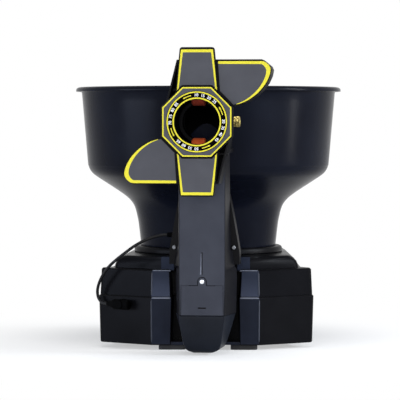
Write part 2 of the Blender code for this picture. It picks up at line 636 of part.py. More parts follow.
# Column spine: the frame that ties the pan pin, gear, tube and shells together
SPINE_LOW = 55 * MM
SPINE_HIGH = 108.5 * MM
SPINE_HALF = 12 * MM
LOW_SHELF_TOP = SPINE_LOW + SPINE_THICK
HIGH_SHELF_LOW = SPINE_HIGH - SPINE_THICK
spine_outline = [(-SPINE_FRONT, SPINE_LOW),
                 (-PAN_FRONT + 10 * MM, SPINE_LOW),
                 (-PAN_FRONT + 10 * MM, LOW_SHELF_TOP),
                 (-SPINE_FRONT + SPINE_THICK, LOW_SHELF_TOP),
                 (-SPINE_FRONT + SPINE_THICK, HIGH_SHELF_LOW),
                 (-PAN_FRONT + 12 * MM, HIGH_SHELF_LOW),
                 (-PAN_FRONT + 12 * MM, SPINE_HIGH),
                 (-SPINE_FRONT, SPINE_HIGH)]
spine = link("column_spine", prism(spine_outline, -SPINE_HALF, SPINE_HALF, "X"), STEEL)
tube_seat = rod(TUBE_R - 1.5 * MM, HIGH_SHELF_LOW, SPINE_HIGH, FINE_STEPS, centre=PAN_AXIS)
combine(spine, tube_seat, "UNION", "tube_seat")
pivot(spine, PAN_AXIS)
pan_pin_shape = rod(PAN_PIN_R, LOW_SHELF_TOP + GAP, HIGH_SHELF_LOW - GAP, FINE_STEPS,
                    centre=PAN_AXIS, chamfer=0.6 * MM)
pan_pin = link("pan_pin", pan_pin_shape, STEEL)
pivot(pan_pin, PAN_AXIS)

# Ball tube: the riser, open behind where balls come in, with a ramp that turns them upwards
TUBE_TOP_Z = HEAD_Z - DRUM_R - 0.5 * MM
TUBE_LOW_Z = SPINE_HIGH + GAP
tube_shape = ring(BALL_R, TUBE_R, TUBE_LOW_Z, TUBE_TOP_Z, FINE_STEPS, centre=PAN_AXIS)
tube = link("ball_tube", tube_shape, INNER_BLACK)
tube_floor = rod(TUBE_R - 1 * MM, TUBE_LOW_Z, FEED_FLOOR_Z - GAP, FINE_STEPS, centre=PAN_AXIS)
combine(tube, tube_floor, "UNION", "floor")
RAMP_R = 20 * MM
RAMP_HALF = 9 * MM
RAMP_PARTS = 6
RAMP_FOOT = -PAN_FRONT - TUBE_R + 1 * MM
ramp_outline = [(RAMP_FOOT, FEED_FLOOR_Z - 1 * MM)]
for k in range(RAMP_PARTS + 1):
    angle = math.pi / 2 * k / RAMP_PARTS
    ramp_outline.append((-PAN_FRONT - RAMP_R * math.sin(angle),
                         FEED_FLOOR_Z + RAMP_R * (1 - math.cos(angle))))
ramp_outline.append((RAMP_FOOT, FEED_FLOOR_Z + RAMP_R))
combine(tube, prism(ramp_outline, -RAMP_HALF, RAMP_HALF, "X"), "UNION", "ramp")
tube_window = block((-TUBE_R - 5 * MM, -PAN_FRONT + 1 * MM, FEED_FLOOR_Z),
                    (TUBE_R + 5 * MM, -PAN_FRONT + 2 * TUBE_R, FEED_FLOOR_Z + BALL_WAY + 3.5 * MM))
combine(tube, tube_window, name="window")
pivot(tube, PAN_AXIS)


COLUMN_WIDTHS = [(NOSE_TOP_Z, 35.4 * MM), (88 * MM, 36.4 * MM), (104 * MM, 35.6 * MM),
                 (131 * MM, 31.5 * MM), (160 * MM, 30.5 * MM), (COLUMN_TOP_Z, 30 * MM)]


def column_half(z):
    """Half the column's width at its back edge: wide round the mechanism, slim above it."""
    for (z0, h0), (z1, h1) in zip(COLUMN_WIDTHS, COLUMN_WIDTHS[1:]):
        if z <= z1:
            return h0 + (h1 - h0) * (z - z0) / (z1 - z0)
    return COLUMN_WIDTHS[-1][1]


def channel(z, back):
    """The column shell's section: a flat front panel, raked sides and an open back."""
    half = column_half(z)
    flat, wide = PANEL_HALF - PANEL_EDGE, PANEL_HALF + 0.5 * MM
    outside = [(-half, -back), (-wide, -COLUMN_FRONT + PANEL_EDGE), (-flat, -COLUMN_FRONT),
               (flat, -COLUMN_FRONT), (wide, -COLUMN_FRONT + PANEL_EDGE), (half, -back)]
    inside = [(half - WALL, -back), (PANEL_HALF - WALL * 0.7, -COLUMN_FRONT + WALL),
              (-PANEL_HALF + WALL * 0.7, -COLUMN_FRONT + WALL), (-half + WALL, -back)]
    return [(x, y, z) for x, y in outside + inside]


# Column front shell with its hatch opening and moulded groove
DEEP_LEVELS = (NOSE_TOP_Z + GAP, 70 * MM, 88 * MM, 98 * MM)
SLIM_LEVELS = (104 * MM, 118 * MM, 131 * MM, 160 * MM, COLUMN_TOP_Z)
shell_sections = [channel(z, COLUMN_LOW_BACK) for z in DEEP_LEVELS]
shell_sections += [channel(z, COLUMN_SPLIT) for z in SLIM_LEVELS]
shell = link("column_shell", loft(shell_sections), SATIN_GREY)
HATCH_HALF = PANEL_HALF - PANEL_EDGE - 0.9 * MM
HATCH_LOW_Z = NOSE_TOP_Z + GAP
SCREW_Z = 86.2 * MM
TAB_R = 5.2 * MM
TAB_STEPS = 8


def hatch_outline(grow):
    """A plate with a round tab on top for its screw."""
    points = [(-HATCH_HALF - grow, HATCH_LOW_Z - grow), (HATCH_HALF + grow, HATCH_LOW_Z - grow),
              (HATCH_HALF + grow, HATCH_TOP_Z + grow)]
    for k in range(TAB_STEPS + 1):
        angle = math.pi * k / TAB_STEPS
        points.append(((TAB_R + grow) * math.cos(angle), SCREW_Z + (TAB_R + grow) * math.sin(angle)))
        if k == 0:
            points.insert(-1, (TAB_R + grow, HATCH_TOP_Z + grow))
    points += [(-TAB_R - grow, HATCH_TOP_Z + grow), (-HATCH_HALF - grow, HATCH_TOP_Z + grow)]
    return points


combine(shell, prism(hatch_outline(GAP), -COLUMN_FRONT - 5 * MM, -COLUMN_FRONT + WALL + 2 * MM, "Y"),
        name="hatch_way")
GROOVE_HALF = 0.6 * MM
GROOVE_DEEP = 1.1 * MM
groove = block((-GROOVE_HALF, -COLUMN_FRONT - 2 * MM, 94.3 * MM),
               (GROOVE_HALF, -COLUMN_FRONT + GROOVE_DEEP, 120.5 * MM))
combine(shell, groove, name="groove")
pivot(shell, PAN_AXIS)

# Hatch over the mechanism, with a blind finger slot and its domed screw
hatch_shape = prism(hatch_outline(0), -COLUMN_FRONT, -COLUMN_FRONT + WALL, "Y")
hatch = link("jam_hatch", hatch_shape, SATIN_GREY)
SLOT_HALF = 4.5 * MM
SLOT_DEEP = 1.6 * MM
finger_slot = block((-SLOT_HALF, -COLUMN_FRONT - 2 * MM, 54.6 * MM),
                    (SLOT_HALF, -COLUMN_FRONT + SLOT_DEEP, 56.2 * MM))
combine(hatch, finger_slot, name="finger_slot")
pivot(hatch, PAN_AXIS)
SCREW_R = 2.7 * MM
SCREW_HIGH = 2.1 * MM
dome = [(0, -COLUMN_FRONT - GAP),
        (SCREW_R, -COLUMN_FRONT - GAP),
        (SCREW_R * 0.85, -COLUMN_FRONT - 1.2 * MM),
        (SCREW_R * 0.5, -COLUMN_FRONT - SCREW_HIGH + 0.2 * MM),
        (0, -COLUMN_FRONT - SCREW_HIGH)]
hatch_screw = link("hatch_screw", lathe(dome, SMALL_STEPS, "Y", (0, 0, SCREW_Z)), STEEL)
pivot(hatch_screw, PAN_AXIS)

# Column rear shell: flared cheeks behind the front shell, closed above the duct
REAR_LOW_Z = 105 * MM
REAR_FULL_Z = 120 * MM
REAR_TOP_Z = 187 * MM
REAR_SLIM = 29 * MM
REAR_FLARE = 12.3 * MM
DUCT_CLEAR_Z = FEED_FLOOR_Z + BALL_WAY + DUCT_WALL + 2 * MM


def rear_half(z):
    """Half the rear shell's width: a slow flare downwards."""
    drop = min(1.0, (REAR_TOP_Z - z) / (REAR_TOP_Z - REAR_FULL_Z))
    return REAR_SLIM + REAR_FLARE * drop ** 0.9


def rear_section(z, shrink, front, back):
    """The rear shell's section, with rounded back corners."""
    half = rear_half(z) - shrink
    corner = 6 * MM
    right = [(half, -front), (half, -back - corner), (half - corner * 0.3, -back - corner * 0.3),
             (half - corner, -back)]
    return at_height(mirrored(right), z)


rear_levels = [REAR_LOW_Z, REAR_FULL_Z, 140 * MM, 158 * MM, 174 * MM, REAR_TOP_Z]
rear_front = COLUMN_SPLIT - GAP
rear_outside = [rear_section(z, 0, rear_front, COLUMN_BACK) for z in rear_levels]
rear = link("column_rear_shell", loft(rear_outside), BLACK_SHELL)
hollow_levels = [REAR_LOW_Z - 3 * MM] + rear_levels[1:-1] + [REAR_TOP_Z - WALL]
rear_inside = [rear_section(z, WALL, rear_front - WALL, COLUMN_BACK + WALL) for z in hollow_levels]
combine(rear, loft(rear_inside), name="hollow")
combine(rear, block((-TUBE_R - 2 * MM, -COLUMN_SPLIT - 5 * MM, REAR_LOW_Z - 5 * MM),
                    (TUBE_R + 2 * MM, -PAN_FRONT + 1.5 * MM, REAR_TOP_Z + 5 * MM)), name="front_way")
tube_way = rod(TUBE_R + GAP, REAR_LOW_Z - 5 * MM, REAR_TOP_Z + 5 * MM, FINE_STEPS, centre=PAN_AXIS)
combine(rear, tube_way, name="tube_way")
rear_duct_way = block((-THROUGH, -DUCT_ZONE_BACK, REAR_LOW_Z - 5 * MM),
                      (THROUGH, -COLUMN_BACK + 9 * MM, DUCT_CLEAR_Z))
combine(rear, rear_duct_way, name="duct_way")
pivot(rear, PAN_AXIS)

# Screws that hold the rear shell, seen beside the front shell
SHELL_SCREW_R = 2.4 * MM
SHELL_SCREW_HIGH = 5 * MM
for name, x in (("shell_screw_left", -35 * MM), ("shell_screw_right", 35 * MM)):
    head = rod(SHELL_SCREW_R, -COLUMN_SPLIT - SHELL_SCREW_HIGH, -COLUMN_SPLIT, SMALL_STEPS, "Y",
               (x, 0, 125 * MM), 0.7 * MM)
    pivot(link(name, head, STEEL), PAN_AXIS)

# Column nose: the tapered foot of the column, rounded underneath
NOSE_LEVELS = [(NOSE_TOP_Z, PANEL_HALF, column_half(NOSE_TOP_Z), 0),
               (40 * MM, 26 * MM, 33.5 * MM, 0),
               (26 * MM, 24 * MM, 29.4 * MM, 0.5 * MM),
               (14 * MM, 21.8 * MM, 25.6 * MM, 1.4 * MM),
               (7.6 * MM, 19.4 * MM, 22.4 * MM, 3 * MM),
               (5 * MM, 16.5 * MM, 18.5 * MM, 5 * MM),
               (NOSE_BOTTOM_Z, 11 * MM, 12.5 * MM, 9 * MM)]


def nose_section(z, front_half, back_half, draw):
    """One level of the nose: front flat, raked sides, and the same depth as the shell above."""
    right = [(front_half - PANEL_EDGE, -COLUMN_FRONT + draw),
             (front_half + 0.5 * MM, -COLUMN_FRONT + PANEL_EDGE + draw),
             (back_half, -COLUMN_LOW_BACK - 8 * MM), (back_half - 3 * MM, -COLUMN_LOW_BACK - draw)]
    return at_height(mirrored(right), z)


nose = link("column_nose", loft([nose_section(*level) for level in NOSE_LEVELS]), BLACK_SHELL)
pivot(nose, PAN_AXIS)

# Tilt yoke: a plate round the tube with two cheeks that hold the tilt pins
YOKE_BASE_Z = COLUMN_TOP_Z + GAP
YOKE_PLATE_THICK = 4.5 * MM
CHEEK_R = 11 * MM
CHEEK_FOOT_HALF = 17 * MM
CHEEK_PARTS = 8
yoke_outer = YOKE_INNER + YOKE_THICK
yoke_half = yoke_outer + 1.5 * MM
YOKE_FRONT = COLUMN_FRONT - 4 * MM
YOKE_BACK = PAN_FRONT - TUBE_R - 2.9 * MM
yoke_corners = [(-yoke_half, -YOKE_FRONT), (yoke_half, -YOKE_FRONT),
                (yoke_half, -YOKE_BACK), (-yoke_half, -YOKE_BACK)]
yoke_plan = rounded(yoke_corners, [5 * MM, 5 * MM, 10 * MM, 10 * MM])
yoke_plate = prism(yoke_plan, YOKE_BASE_Z, YOKE_BASE_Z + YOKE_PLATE_THICK)
yoke = link("tilt_yoke", yoke_plate, BLACK_SHELL)
cheek_outline = [(-PAN_FRONT - CHEEK_FOOT_HALF, YOKE_BASE_Z + 1 * MM),
                 (-PAN_FRONT + CHEEK_FOOT_HALF, YOKE_BASE_Z + 1 * MM)]
for k in range(CHEEK_PARTS + 1):
    angle = math.pi * k / CHEEK_PARTS
    cheek_outline.append((-PAN_FRONT + CHEEK_R * math.cos(angle), HEAD_Z + CHEEK_R * math.sin(angle)))
for side in (-1, 1):
    near, far = sorted((side * YOKE_INNER, side * yoke_outer))
    combine(yoke, prism(cheek_outline, near, far, "X"), "UNION", "cheek")
tube_hole = rod(TUBE_R + GAP, YOKE_BASE_Z - 5 * MM, YOKE_BASE_Z + 10 * MM, FINE_STEPS, centre=PAN_AXIS)
combine(yoke, tube_hole, name="tube_hole")
pin_hole = rod(TILT_PIN_R + GAP, -THROUGH, THROUGH, SMALL_STEPS, "X", TILT_AXIS)
combine(yoke, pin_hole, name="pin_hole")
pivot(yoke, PAN_AXIS)
PIN_INNER = DRUM_HALF - 3 * MM
for name, side in (("tilt_pin_left", -1), ("tilt_pin_right", 1)):
    near, far = sorted((side * PIN_INNER, side * yoke_outer))
    tilt_pin = link(name, rod(TILT_PIN_R, near, far, SMALL_STEPS, "X", TILT_AXIS), STEEL)
    pivot(tilt_pin, PAN_AXIS)

# Thumb screw: knurled brass, on the tilt axis at the right
KNOB_NEAR = yoke_outer + 3 * MM
KNOB_FAR = KNOB_NEAR + 9.1 * MM
KNOB_R = 7.2 * MM
KNURLS = 20
KNURL_DEEP = 0.5 * MM
SHANK_R = 3.4 * MM
knob_outline = []
for k in range(KNURLS * 2):
    radius = KNOB_R - KNURL_DEEP * (k % 2)
    angle = math.tau * k / (KNURLS * 2)
    knob_outline.append((-PAN_FRONT + radius * math.cos(angle), HEAD_Z + radius * math.sin(angle)))
knob = link("thumb_screw", prism(knob_outline, KNOB_NEAR, KNOB_FAR - 2 * MM, "X"), BRASS)
rim = rod(KNOB_R - 0.2 * MM, KNOB_FAR - 3 * MM, KNOB_FAR, FINE_STEPS, "X", TILT_AXIS, 0.6 * MM)
combine(knob, rim, "UNION", "rim")
shank = rod(SHANK_R, yoke_outer + GAP, KNOB_NEAR + 1 * MM, SMALL_STEPS, "X", TILT_AXIS)
combine(knob, shank, "UNION", "shank")
pivot(knob, TILT_AXIS)

# Tilt drum: turns the ball from the riser to the barrel at any tilt
TILT_UP = math.radians(25)
DRUM_CHAMFER = 8 * MM
drum_shape = rod(DRUM_R, -DRUM_HALF, DRUM_HALF, ROUND_STEPS, "X", TILT_AXIS, DRUM_CHAMFER)
drum = link("tilt_drum", drum_shape, INNER_BLACK)
for name, away in (("inlet", 0.0), ("inlet_tilted", TILT_UP)):
    inlet = rod(BALL_R, -50 * MM, 0, FINE_STEPS)
    tilted = Matrix.Translation(TILT_AXIS) @ Matrix.Rotation(away, 4, "X")
    bmesh.ops.transform(inlet, matrix=tilted, verts=inlet.verts)
    combine(drum, inlet, name=name)
outlet = rod(BALL_R - 0.2 * MM, -PAN_FRONT - 50 * MM, -PAN_FRONT, FINE_STEPS, "Y", BARREL_LINE)
combine(drum, outlet, name="outlet")
elbow_profile = [(0, -BALL_R)]
for k in range(1, ELBOW_PARTS):
    angle = math.pi * k / ELBOW_PARTS
    elbow_profile.append((BALL_R * math.sin(angle), -BALL_R * math.cos(angle)))
elbow_profile.append((0, BALL_R))
combine(drum, lathe(elbow_profile, FINE_STEPS, "Z", TILT_AXIS), name="elbow")
for side in (-1, 1):
    near, far = sorted((side * (PIN_INNER - 0.5 * MM), side * (DRUM_HALF + 3 * MM)))
    pin_socket = rod(TILT_PIN_R + GAP, near, far, SMALL_STEPS, "X", TILT_AXIS)
    combine(drum, pin_socket, name="pin_socket")
pivot(drum, TILT_AXIS)

# Swivel flange: the saddle tube on the drum that the head turns on
FLANGE_R = 31 * MM
FLANGE_FRONT = HEAD_BACK - GAP
SADDLE_R = DRUM_R - 0.6 * MM
SADDLE_BACK = PAN_FRONT + 8 * MM
flange_profile = [(BALL_R, -FLANGE_FRONT),
                  (FLANGE_R, -FLANGE_FRONT),
                  (FLANGE_R, -FLANGE_FRONT + 3.5 * MM),
                  (SADDLE_R, -FLANGE_FRONT + 5 * MM),
                  (SADDLE_R, -SADDLE_BACK),
                  (BALL_R, -SADDLE_BACK)]
flange_shape = lathe(flange_profile, FINE_STEPS, "Y", BARREL_LINE)
flange = link("swivel_flange", flange_shape, INNER_BLACK)
drum_way = rod(DRUM_R + GAP, -THROUGH, THROUGH, ROUND_STEPS, "X", TILT_AXIS)
combine(flange, drum_way, name="saddle")
riser_way = rod(TUBE_R + 2 * MM, -THROUGH, 0, FINE_STEPS, centre=TILT_AXIS)
combine(flange, riser_way, name="riser_way")
pivot(flange, TILT_AXIS)

# Wheel housing: a tray behind the bezel, wide in the middle and narrow at both ends
HOUSING_FRONT = HEAD_FRONT - BEZEL_THICK - GAP
HOUSING_WALL = 2.4 * MM
HOUSING_WIDE = (36 * MM, 23 * MM)
HOUSING_END = (24 * MM, 71 * MM)


def housing_outline(grow=0.0):
    """The housing seen from the front."""
    wide, wide_high = HOUSING_WIDE
    end, end_high = HOUSING_END
    sharp = [(end, end_high), (-end, end_high), (-wide, wide_high), (-wide, -wide_high),
             (-end, -end_high), (end, -end_high), (wide, -wide_high), (wide, wide_high)]
    return inset(sharp, -grow) if grow else sharp


def facing(outline):
    """Lift an outline drawn about the barrel's axis to the head's height."""
    return [(x, z + HEAD_Z) for x, z in outline]


def housing_half(z):
    """The housing's half width at a height above the barrel's axis."""
    share = (abs(z) - HOUSING_WIDE[1]) / (HOUSING_END[1] - HOUSING_WIDE[1])
    return HOUSING_WIDE[0] + (HOUSING_END[0] - HOUSING_WIDE[0]) * max(share, 0)


housing_shape = prism(facing(housing_outline()), -HOUSING_FRONT, -HEAD_BACK, "Y")
housing = link("wheel_housing", housing_shape, BLACK_SHELL)
housing_hollow = prism(facing(housing_outline(-HOUSING_WALL)), -HOUSING_FRONT - 5 * MM,
                       -HEAD_BACK - HOUSING_WALL, "Y")
combine(housing, housing_hollow, name="hollow")
ball_inlet = rod(BALL_R, -HEAD_BACK - 10 * MM, -HEAD_BACK + 10 * MM, FINE_STEPS, "Y", BARREL_LINE)
combine(housing, ball_inlet, name="inlet")
for side in (-1, 1):
    wheel_centre = (0, -WHEEL_FRONT, HEAD_Z + side * WHEEL_OFFSET)
    axle_hole = rod(AXLE_R + GAP, -THROUGH, THROUGH, SMALL_STEPS, "X", wheel_centre)
    combine(housing, axle_hole, name="axle_hole")
pivot(housing, SPIN_AXIS)

# Barrel: the guide between the wheels, slotted where they reach in
BARREL_R = BORE_R + 1.8 * MM
BARREL_BACK = HEAD_BACK + HOUSING_WALL + GAP
barrel_shape = ring(BORE_R, BARREL_R, -HOUSING_FRONT, -BARREL_BACK, ROUND_STEPS, "Y", BARREL_LINE)
barrel = link("barrel", barrel_shape, INNER_BLACK)
for side in (-1, 1):
    near, far = sorted((side * 14 * MM, side * 40 * MM))
    slot_way = block((-WHEEL_HALF - 1.2 * MM, -HOUSING_FRONT + 0.6 * MM, HEAD_Z + near),
                     (WHEEL_HALF + 1.2 * MM, -BARREL_BACK - 1.6 * MM, HEAD_Z + far))
    combine(barrel, slot_way, name="wheel_slot")
pivot(barrel, SPIN_AXIS)


def octagon(flat, grow=0.0):
    """An eight-sided outline with flats at the top, bottom and sides, anticlockwise."""
    radius = (flat + grow) / math.cos(math.pi / 8)
    angles = [math.pi / 8 + math.pi / 4 * k for k in range(8)]
    return [(radius * math.cos(angle), radius * math.sin(angle)) for angle in angles]


# Bezel: the eight-sided plate round the bore, recessed for the dial ring
DIAL_DEEP = 1.2 * MM
BEFORE_HEAD = -HEAD_FRONT - 5 * MM
BEHIND_BEZEL = -HEAD_FRONT + 20 * MM
bezel_shape = prism(facing(octagon(BEZEL_FLAT)), -HEAD_FRONT, -HEAD_FRONT + BEZEL_THICK, "Y")
bezel = link("bezel", bezel_shape, LABEL_GREY)
soften(bezel, 1.0 * MM, 2)
combine(bezel, rod(BORE_R, BEFORE_HEAD, BEHIND_BEZEL, ROUND_STEPS, "Y", BARREL_LINE), name="bore")
dial_seat = rod(DIAL_R + GAP, BEFORE_HEAD, -HEAD_FRONT + DIAL_DEEP, ROUND_STEPS, "Y", BARREL_LINE)
combine(bezel, dial_seat, name="dial_seat")
pivot(bezel, SPIN_AXIS)
dial_shape = ring(BORE_R, DIAL_R, -HEAD_FRONT, -HEAD_FRONT + DIAL_DEEP - GAP, ROUND_STEPS, "Y", BARREL_LINE)
dial = link("dial_ring", dial_shape, INNER_BLACK)
pivot(dial, SPIN_AXIS)

# End covers: tapered plates above and below the bezel
COVER_FRONT = HEAD_FRONT - 2 * MM
COVER_THICK = COVER_FRONT - HOUSING_FRONT - GAP


def end_cover(side, grow=0.0):
    """A tapered plate from the bezel outwards; side is 1 above and -1 below."""
    root = BEZEL_FLAT - 9 * MM
    corners = [(-PLATE_ROOT_HALF - grow, root), (PLATE_ROOT_HALF + grow, root),
               (PLATE_TIP_HALF + grow, PLATE_REACH + grow), (-PLATE_TIP_HALF - grow, PLATE_REACH + grow)]
    if side < 0:
        corners = [(x, -z) for x, z in corners[::-1]]
        return rounded(corners, [3 * MM, 3 * MM, 0, 0], 3)
    return rounded(corners, [0, 0, 3 * MM, 3 * MM], 3)


for name, side in (("cover_upper", 1), ("cover_lower", -1)):
    plate_shape = prism(facing(end_cover(side)), -COVER_FRONT, -COVER_FRONT + COVER_THICK, "Y")
    plate = link(name, plate_shape, LABEL_GREY)
    bezel_way = prism(facing(octagon(BEZEL_FLAT, GAP)), BEFORE_HEAD, BEHIND_BEZEL, "Y")
    combine(plate, bezel_way, name="bezel_way")
    pivot(plate, SPIN_AXIS)

# Wing covers: moulded caps over the wheel motors, a straight upper edge and a long bowed lower one
WING_FRONT = HEAD_FRONT - 4 * MM
WING_BACK = HEAD_BACK + 6 * MM
WING_WALL = 2.2 * MM
WING_INNER = 20 * MM


def wing_outline(side, shrink=0.0):
    """A wing to the right and up, its lower edge a flattened quarter curve; side -1 turns it half round."""
    points = [(WING_INNER, WING_TOP), (WING_INNER, WING_ROOT)]
    for k in range(WING_PARTS + 1):
        angle = math.pi / 2 * k / WING_PARTS
        points.append((WING_START + (WING_REACH - WING_START) * math.sin(angle) ** (2 / WING_BOW),
                       WING_ROOT + (WING_TIP_LOW - WING_ROOT) * (1 - math.cos(angle) ** (2 / WING_BOW))))
    points += [(WING_REACH - 1.6 * MM, WING_TIP_LOW + 4 * MM),
               (WING_REACH - 7.4 * MM, WING_TOP - 3 * MM),
               (WING_SHOULDER, WING_TOP)]
    if shrink:
        points = inset(points, shrink)
    return [(x * side, z * side) for x, z in points]


BEHIND_PLATES = -HOUSING_FRONT + 1 * MM
for name, side in (("wing_right", 1), ("wing_left", -1)):
    wing = link(name, prism(facing(wing_outline(side)), -WING_FRONT, -WING_BACK, "Y"), LABEL_GREY)
    wing_hollow = prism(facing(wing_outline(side, WING_WALL)), -WING_FRONT + WING_WALL,
                        -WING_BACK + 5 * MM, "Y")
    combine(wing, wing_hollow, name="hollow")
    housing_way = prism(facing(housing_outline(GAP)), -HOUSING_FRONT - GAP, -HEAD_BACK + 10 * MM, "Y")
    combine(wing, housing_way, name="housing_way")
    bezel_way = prism(facing(octagon(BEZEL_FLAT, GAP)), BEFORE_HEAD, BEHIND_PLATES, "Y")
    combine(wing, bezel_way, name="bezel_way")
    cover_way = prism(facing(end_cover(side, GAP)), BEFORE_HEAD, BEHIND_PLATES, "Y")
    combine(wing, cover_way, name="cover_way")
    pivot(wing, SPIN_AXIS)

# Wheel motors, hubs and tyres: the upper motor at the right, the lower at the left
MOTOR_LENGTH = 22 * MM
HUB_RIM_R = 12.5 * MM
HUB_RIM_IN = HUB_RIM_R - 2 * MM
BOSS_R = 5 * MM
WEB_HALF = 3 * MM
TYRE_EDGE = 1.5 * MM
wall = housing_half(WHEEL_OFFSET)
hub_side = [(HUB_RIM_R, WHEEL_HALF), (HUB_RIM_IN, WHEEL_HALF), (HUB_RIM_IN, WEB_HALF),
            (BOSS_R, WEB_HALF), (BOSS_R, WHEEL_HALF + 1 * MM), (AXLE_R, WHEEL_HALF + 1 * MM)]
hub_profile = [(0, 0.5 * MM - wall), (AXLE_R, 0.5 * MM - wall)]
hub_profile += [(radius, -x) for radius, x in hub_side[::-1]]
hub_profile += hub_side + [(AXLE_R, wall + 1 * MM), (0, wall + 1 * MM)]
tyre_profile = [(HUB_RIM_R + GAP, -WHEEL_HALF),
                (WHEEL_R - TYRE_EDGE, -WHEEL_HALF),
                (WHEEL_R, -WHEEL_HALF + TYRE_EDGE),
                (WHEEL_R, WHEEL_HALF - TYRE_EDGE),
                (WHEEL_R - TYRE_EDGE, WHEEL_HALF),
                (HUB_RIM_R + GAP, WHEEL_HALF)]
for name, side in (("upper", 1), ("lower", -1)):
    centre = (0, -WHEEL_FRONT, HEAD_Z + side * WHEEL_OFFSET)
    near, far = sorted((side * (wall - 3 * MM), side * (wall + 2 * MM + MOTOR_LENGTH)))
    motor_shape = rod(MOTOR_R, near, far, FINE_STEPS, "X", centre, 0.8 * MM)
    motor = link("wheel_motor_" + name, motor_shape, MOTOR_STEEL)
    wall_seat = prism(facing(housing_outline(GAP)), -HEAD_FRONT, -HEAD_BACK + 5 * MM, "Y")
    combine(motor, wall_seat, name="wall_seat")
    axle_way = rod(AXLE_R + GAP, -wall - 5 * MM, wall + 5 * MM, SMALL_STEPS, "X", centre)
    combine(motor, axle_way, name="axle_way")
    pivot(motor, SPIN_AXIS)
    hub = link("wheel_hub_" + name, lathe(hub_profile, SMALL_STEPS, "X", centre), WHITE_NYLON)
    pivot(hub, centre)
    tyre = link("wheel_tyre_" + name, lathe(tyre_profile, FINE_STEPS, "X", centre), ORANGE_RUBBER)
    pivot(tyre, centre)

# Lead socket: a flanged jack in the left outer face
SOCKET_BORE_R = 2.6 * MM
SOCKET_LIP_R = LEAD_SOCKET_R + 1.8 * MM
socket_profile = [(SOCKET_BORE_R, -9 * MM),
                  (LEAD_SOCKET_R, -9 * MM),
                  (LEAD_SOCKET_R, 0.9 * MM),
                  (SOCKET_LIP_R, 0.9 * MM),
                  (SOCKET_LIP_R, 2 * MM),
                  (SOCKET_BORE_R, 2 * MM)]
socket_shape = lathe(socket_profile, SMALL_STEPS)
bmesh.ops.transform(socket_shape, matrix=face_turn, verts=socket_shape.verts)
link("lead_socket", socket_shape, INNER_BLACK)

# Lead plug: an angled plug whose body lies along the face, its pin in the socket
PLUG_HALF = 13 * MM
PLUG_TAIL = PLUG_HALF + 7 * MM
PLUG_R = 6.1 * MM
PLUG_FLATTEN = 0.8
PLUG_STAND = 2.3 * MM + PLUG_R * PLUG_FLATTEN
PLUG_HEAD_R = 5.4 * MM
plug_centre = socket_place + face_out * PLUG_STAND
plug_profile = [(0, -PLUG_HALF),
                (PLUG_R - 1.5 * MM, -PLUG_HALF),
                (PLUG_R, -PLUG_HALF + 1.5 * MM),
                (PLUG_R, PLUG_HALF - 4 * MM),
                (4.2 * MM, PLUG_HALF),
                (2.6 * MM, PLUG_TAIL),
                (0, PLUG_TAIL)]
plug_shape = lathe(plug_profile, SMALL_STEPS)
bmesh.ops.scale(plug_shape, vec=(PLUG_FLATTEN, 1, 1), verts=plug_shape.verts)
plug_basis = Matrix((face_out, Vector((0, 0, 1)), face_along)).transposed().to_4x4()
plug_place = Matrix.Translation(plug_centre) @ plug_basis
bmesh.ops.transform(plug_shape, matrix=plug_place, verts=plug_shape.verts)
plug = link("lead_plug", plug_shape, INNER_BLACK)
combine(plug, face_cylinder(SOCKET_BORE_R - GAP, -7 * MM, PLUG_STAND), "UNION", "pin")
combine(plug, face_cylinder(PLUG_HEAD_R, 2.3 * MM, PLUG_STAND + 5.6 * MM), "UNION", "head")

# Lead gland: a tapered strain relief on the left side of the feed duct
GLAND_Y = 7 * MM - BASE_FRONT
GLAND_Z = 137.5 * MM
GLAND_OUT = 45.5 * MM
GLAND_R = 6.5 * MM
gland_profile = [(0, -GLAND_OUT),
                 (2.6 * MM, -GLAND_OUT),
                 (4.2 * MM, -DUCT_HALF - 4 * MM),
                 (GLAND_R, -DUCT_HALF - 3 * MM),
                 (GLAND_R, -DUCT_HALF - GAP),
                 (0, -DUCT_HALF - GAP)]
gland_shape = lathe(gland_profile, SMALL_STEPS, "X", (0, GLAND_Y, GLAND_Z))
link("lead_gland", gland_shape, INNER_BLACK)

# Head lead: out of the gland, over the deck's edge, down beside the base and into the plug
plug_entry = plug_centre + face_along * PLUG_TAIL
LEAD_WAY = [(-52, 7, 137), (-61, 7, 135), (-72, 7, 131), (-84, 7.5, 124.4), (-94.5, 8.5, 116.8),
            (-104.5, 10.5, 109), (-113.6, 13.5, 101), (-120.8, 17.5, 92.6), (-126.4, 22, 83.6),
            (-130, 26.4, 74.6), (-131.4, 30.4, 66), (-130, 33, 58.6), (-126, 33.2, 54.6)]
lead_route = [Vector((-GLAND_OUT - GAP, GLAND_Y, GLAND_Z))]
lead_route += [Vector((x * MM, y * MM - BASE_FRONT, z * MM)) for x, y, z in LEAD_WAY]
lead_route.append(plug_entry + face_along * GAP)


def smooth_route(route, start_way, end_way, parts):
    """Points of a Catmull-Rom curve through a route, with its two end directions given."""
    first_reach = (route[1] - route[0]).length
    last_reach = (route[-1] - route[-2]).length
    before, after = route[0] - start_way * first_reach, route[-1] + end_way * last_reach
    padded = [before] + route + [after]
    points = []
    for k in range(1, len(padded) - 2):
        a, b, c, d = padded[k - 1:k + 3]
        for s in range(parts):
            t = s / parts
            points.append(0.5 * ((2 * b) + (c - a) * t + (2 * a - 5 * b + 4 * c - d) * t * t
                                 + (3 * b - a - 3 * c + d) * t ** 3))
    points.append(route[-1])
    return points


